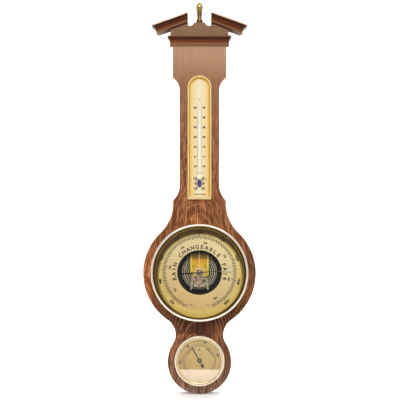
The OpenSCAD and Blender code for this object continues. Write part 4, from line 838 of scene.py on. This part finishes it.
movement_gold = turned_metal("movement brass", (0.92, 0.66, 0.16, 1), 0.3)
copper = turned_metal("copper alloy", (0.95, 0.6, 0.4, 1), 0.35, metallic=0.5)
lacquer = enamel("dark lacquer", ink(58, 48, 20), rough=0.5, specular=0.05)
can_paint = enamel("can paint", ink(54, 45, 22), rough=0.45, specular=0.1)
dark_steel = turned_metal("dark steel", (0.12, 0.11, 0.1, 1), 0.35)
blue_steel = turned_metal("blued steel", (0.1, 0.14, 0.32, 1), 0.25)
plate_silver = turned_metal("plate silver", (0.74, 0.62, 0.44, 1), 0.36, metallic=0.7)
screw_brass = turned_metal("screw brass", (0.42, 0.3, 0.13, 1), 0.45)
lever_brass = turned_metal("lever brass", (0.2, 0.15, 0.05, 1), 0.4)
dress("bridge_plate", bridge_brass(), bevel=0.08 * MM)
for node in ("hand_arbor", "arbor_pinion", "hairspring_stud", "bridge_screws"):
    dress(node, movement_gold)
dress("sector_gear", copper)
dress("aneroid_capsule", capsule_silver(), smooth=30)
dress("hairspring", blue_steel)
dress("movement_base_plate", lacquer)
dress("barometer_case", can_paint)
dress("gear_plate", plate_silver)
for node in ("gear_plate_posts", "rocking_shaft", "sector_stud", "plate_pillars"):
    dress(node, steel)
dress("adjusting_screw", screw_brass)
dress("main_lever", lever_brass)
for node in ("lever_posts", "lever_shaft", "base_plate_screws", "capsule_post"):
    dress(node, dark_steel)
dress("barometer_case_screws", gilt)

# The hygrometer.

hygrometer = middle("hygrometer_dial")
# The small bezel's zones paint its reflections: the cream-white bands are painted reflections of the bright
# room, and the darker bands at its steps painted darker reflections.
hygro_brass = turned_metal(
    "hygrometer bezel brass", ink(255, 243, 222), 0.22, centre=hygrometer, rim=(0.6, 0.5, 0.36, 1),
    metallic=0.4, zones=[
        (31.5 * MM, ink(110, 92, 50)), (32.2 * MM, ink(150, 128, 76)), (32.6 * MM, ink(255, 236, 190)),
        (34.9 * MM, ink(255, 240, 204)), (35.3 * MM, ink(168, 140, 84)), (35.9 * MM, ink(168, 140, 84)),
        (36.2 * MM, ink(255, 243, 222)), (39.0 * MM, ink(255, 243, 222)),
    ])
hygro_gold = brushed_dial(
    "satin gold small dial", hygrometer, ink(255, 224, 144), ink(240, 206, 120), 29 * MM, 34 * MM)
hand_brown = enamel("hand brown", ink(22, 14, 6), rough=0.6, specular=0.05)
arbor_brass = turned_metal("arbor brass", (1.0, 0.9, 0.66, 1), 0.3, metallic=0.2)
dress("hygrometer_bezel", hygro_brass, smooth=50)
dress("hygrometer_dial", hygro_gold, bevel=0.1 * MM)
dress("hygrometer_glass", clear_glass("small cover glass", 0.17), smooth=30)
dress("hygrometer_hand", hand_brown, bevel=0.05 * MM)
dress("hygrometer_case", lacquer)
dress("hygrometer_case_screws", gilt)
dress("hygrometer_arbor", arbor_brass)
dress("humidity_coil", copper)
dress("hygrometer_bridge", movement_gold)
dress("coil_post", steel)

# The scale of humidity: where 20 % stands, the degrees of turn for each per cent, and its two lines.
TURN_AT_20 = -94.5
PERCENT = 2.79
HUMID_OUTER, HUMID_INNER = 25.4 * MM, 22.2 * MM
HUMID_START, HUMID_END = -122.4, 128.7
COMFORT_RADIUS = 21.2 * MM
humid_print = Printing(hygrometer, front("hygrometer_dial"))
for percent in range(10, 101, 2):
    long = tick(percent, 3.2, 2.4, 2.4)
    humid_print.bar(0.55 * MM, long, TURN_AT_20 + (percent - 20) * PERCENT, (0, HUMID_OUTER - long / 2))
for radius in (HUMID_OUTER, HUMID_INNER):
    humid_print.arc(radius, 0.26 * MM, HUMID_START, HUMID_END)
for percent in (20, 40, 60, 80):
    turn = TURN_AT_20 + (percent - 20) * PERCENT
    humid_print.letters(str(percent), 4.4 * MM, turn, (0, 29 * MM), bold=0.16 * MM)
humid_print.letters("%", 4.2 * MM, shift=(0, 16.5 * MM), bold=0.12 * MM)
humid_print.done("hygrometer_printing", black_ink)
comfort = Printing(hygrometer, front("hygrometer_dial"))
for start, end in ((-64, -24), (26, 66)):
    comfort.arc(COMFORT_RADIUS, 1.5 * MM, start, end)
comfort.done("comfort_arc", red_ink)

# The room: a pale table, a pale wall behind, soft lights and the camera.

CAMERA_RANGE = 1.75
FRAME_WIDTH = 0.62
FRAME_MIDDLE = Vector((0.0008, -0.024, -0.217))
SENSOR_WIDTH = 36
FOOT = cad_box[0][2]
ROOM_SIDE = 2.0
# The table's front edge shows in the small glass, where the pale patch starts.
TABLE_FRONT = -0.289
WALL_FRONT, WALL_BACK = 2.6, 2.62
WALL_TOP = 1.1


def slab(name, low, high, material):
    """A plain slab of the room, between two corners."""
    low, high = Vector(low), Vector(high)
    place = Matrix.Translation((low + high) / 2) @ Matrix.Diagonal((*(high - low), 1))
    bm = bmesh.new()
    bmesh.ops.create_cube(bm, size=1, matrix=place)
    mesh = bpy.data.meshes.new(name)
    bm.to_mesh(mesh)
    bm.free()
    mesh.materials.append(material)
    piece = bpy.data.objects.new(name, mesh)
    bpy.context.scene.collection.objects.link(piece)


def softbox(name, place, aim, width, height, power):
    """A soft rectangular lamp that faces the point aim."""
    lamp = bpy.data.lights.new(name, "AREA")
    lamp.shape = "RECTANGLE"
    lamp.size = width
    lamp.size_y = height
    lamp.energy = power
    holder = bpy.data.objects.new(name, lamp)
    holder.location = place
    holder.rotation_euler = (Vector(aim) - Vector(place)).to_track_quat("-Z", "Y").to_euler()
    bpy.context.scene.collection.objects.link(holder)


PAPER = {"color": (0.9, 0.9, 0.9, 1), "rough": 0.6, "speckle": 0.005, "grain": 8}
wall_paper = enamel("white paper", **PAPER)
table_paper = enamel("light table", **PAPER, glow_color=(1, 1, 1, 1), glow=0.15)
slab("table", (-ROOM_SIDE, TABLE_FRONT, FOOT - 0.02), (ROOM_SIDE, WALL_FRONT, FOOT - 0.2 * MM), table_paper)
slab("wall", (-ROOM_SIDE, WALL_FRONT, FOOT - 0.1), (ROOM_SIDE, WALL_BACK, WALL_TOP), wall_paper)

softbox("key", (0.1, -1.5, 0.8), (0, 0, -0.25), 1.2, 0.7, 16)
softbox("wall wash", (0.0, 1.7, 2.3), (0, WALL_FRONT, 0.3), 3.6, 0.5, 90)
softbox("floor wash", (0.0, 0.8, 1.7), (0, 0.7, FOOT), 2.6, 0.8, 30)

# The room's light by its angle in degrees, from behind the object (180) to behind the camera (0): brightest
# at the sides, and dim round the camera, from where the glasses and the metal reflect it.
ROOM_LIGHT = [(180, 0.5), (150, 0.85), (100, 0.95), (80, 0.8), (60, 0.5), (30, 0.35), (12, 0.3), (0, 0.25)]
ROOM_GAIN = 2.0
# The dim part lies this many degrees below the horizon.
ROOM_DIP = radians(3)
world = bpy.data.worlds.new("room")
world.use_nodes = True
room = world.node_tree
direction = room.nodes.new("ShaderNodeTexCoord")
ahead = room.nodes.new("ShaderNodeVectorMath")
ahead.operation = "DOT_PRODUCT"
ahead.inputs[1].default_value = (0, -cos(ROOM_DIP), -sin(ROOM_DIP))
spread = room.nodes.new("ShaderNodeMapRange")
spread.inputs["From Min"].default_value = -1
strength = room.nodes.new("ShaderNodeValToRGB")
fill_ramp(strength.color_ramp, [
    ((cos(radians(angle)) + 1) / 2, (power / ROOM_GAIN, power / ROOM_GAIN, power / ROOM_GAIN, 1))
    for angle, power in ROOM_LIGHT])
room.links.new(direction.outputs["Generated"], ahead.inputs[0])
room.links.new(ahead.outputs["Value"], spread.inputs["Value"])
room.links.new(spread.outputs["Result"], strength.inputs["Fac"])
room.links.new(strength.outputs["Color"], room.nodes["Background"].inputs["Color"])
room.nodes["Background"].inputs["Strength"].default_value = ROOM_GAIN
bpy.context.scene.world = world
bpy.context.scene.view_settings.view_transform = "Standard"

camera_data = bpy.data.cameras.new("camera")
camera_data.sensor_width = SENSOR_WIDTH
camera_data.lens = SENSOR_WIDTH * CAMERA_RANGE / FRAME_WIDTH
camera_data.clip_end = 20
camera = bpy.data.objects.new("camera", camera_data)
camera.location = FRAME_MIDDLE - Vector((0, CAMERA_RANGE, 0))
camera.rotation_euler = (radians(90), 0, 0)
bpy.context.scene.collection.objects.link(camera)
bpy.context.scene.camera = camera
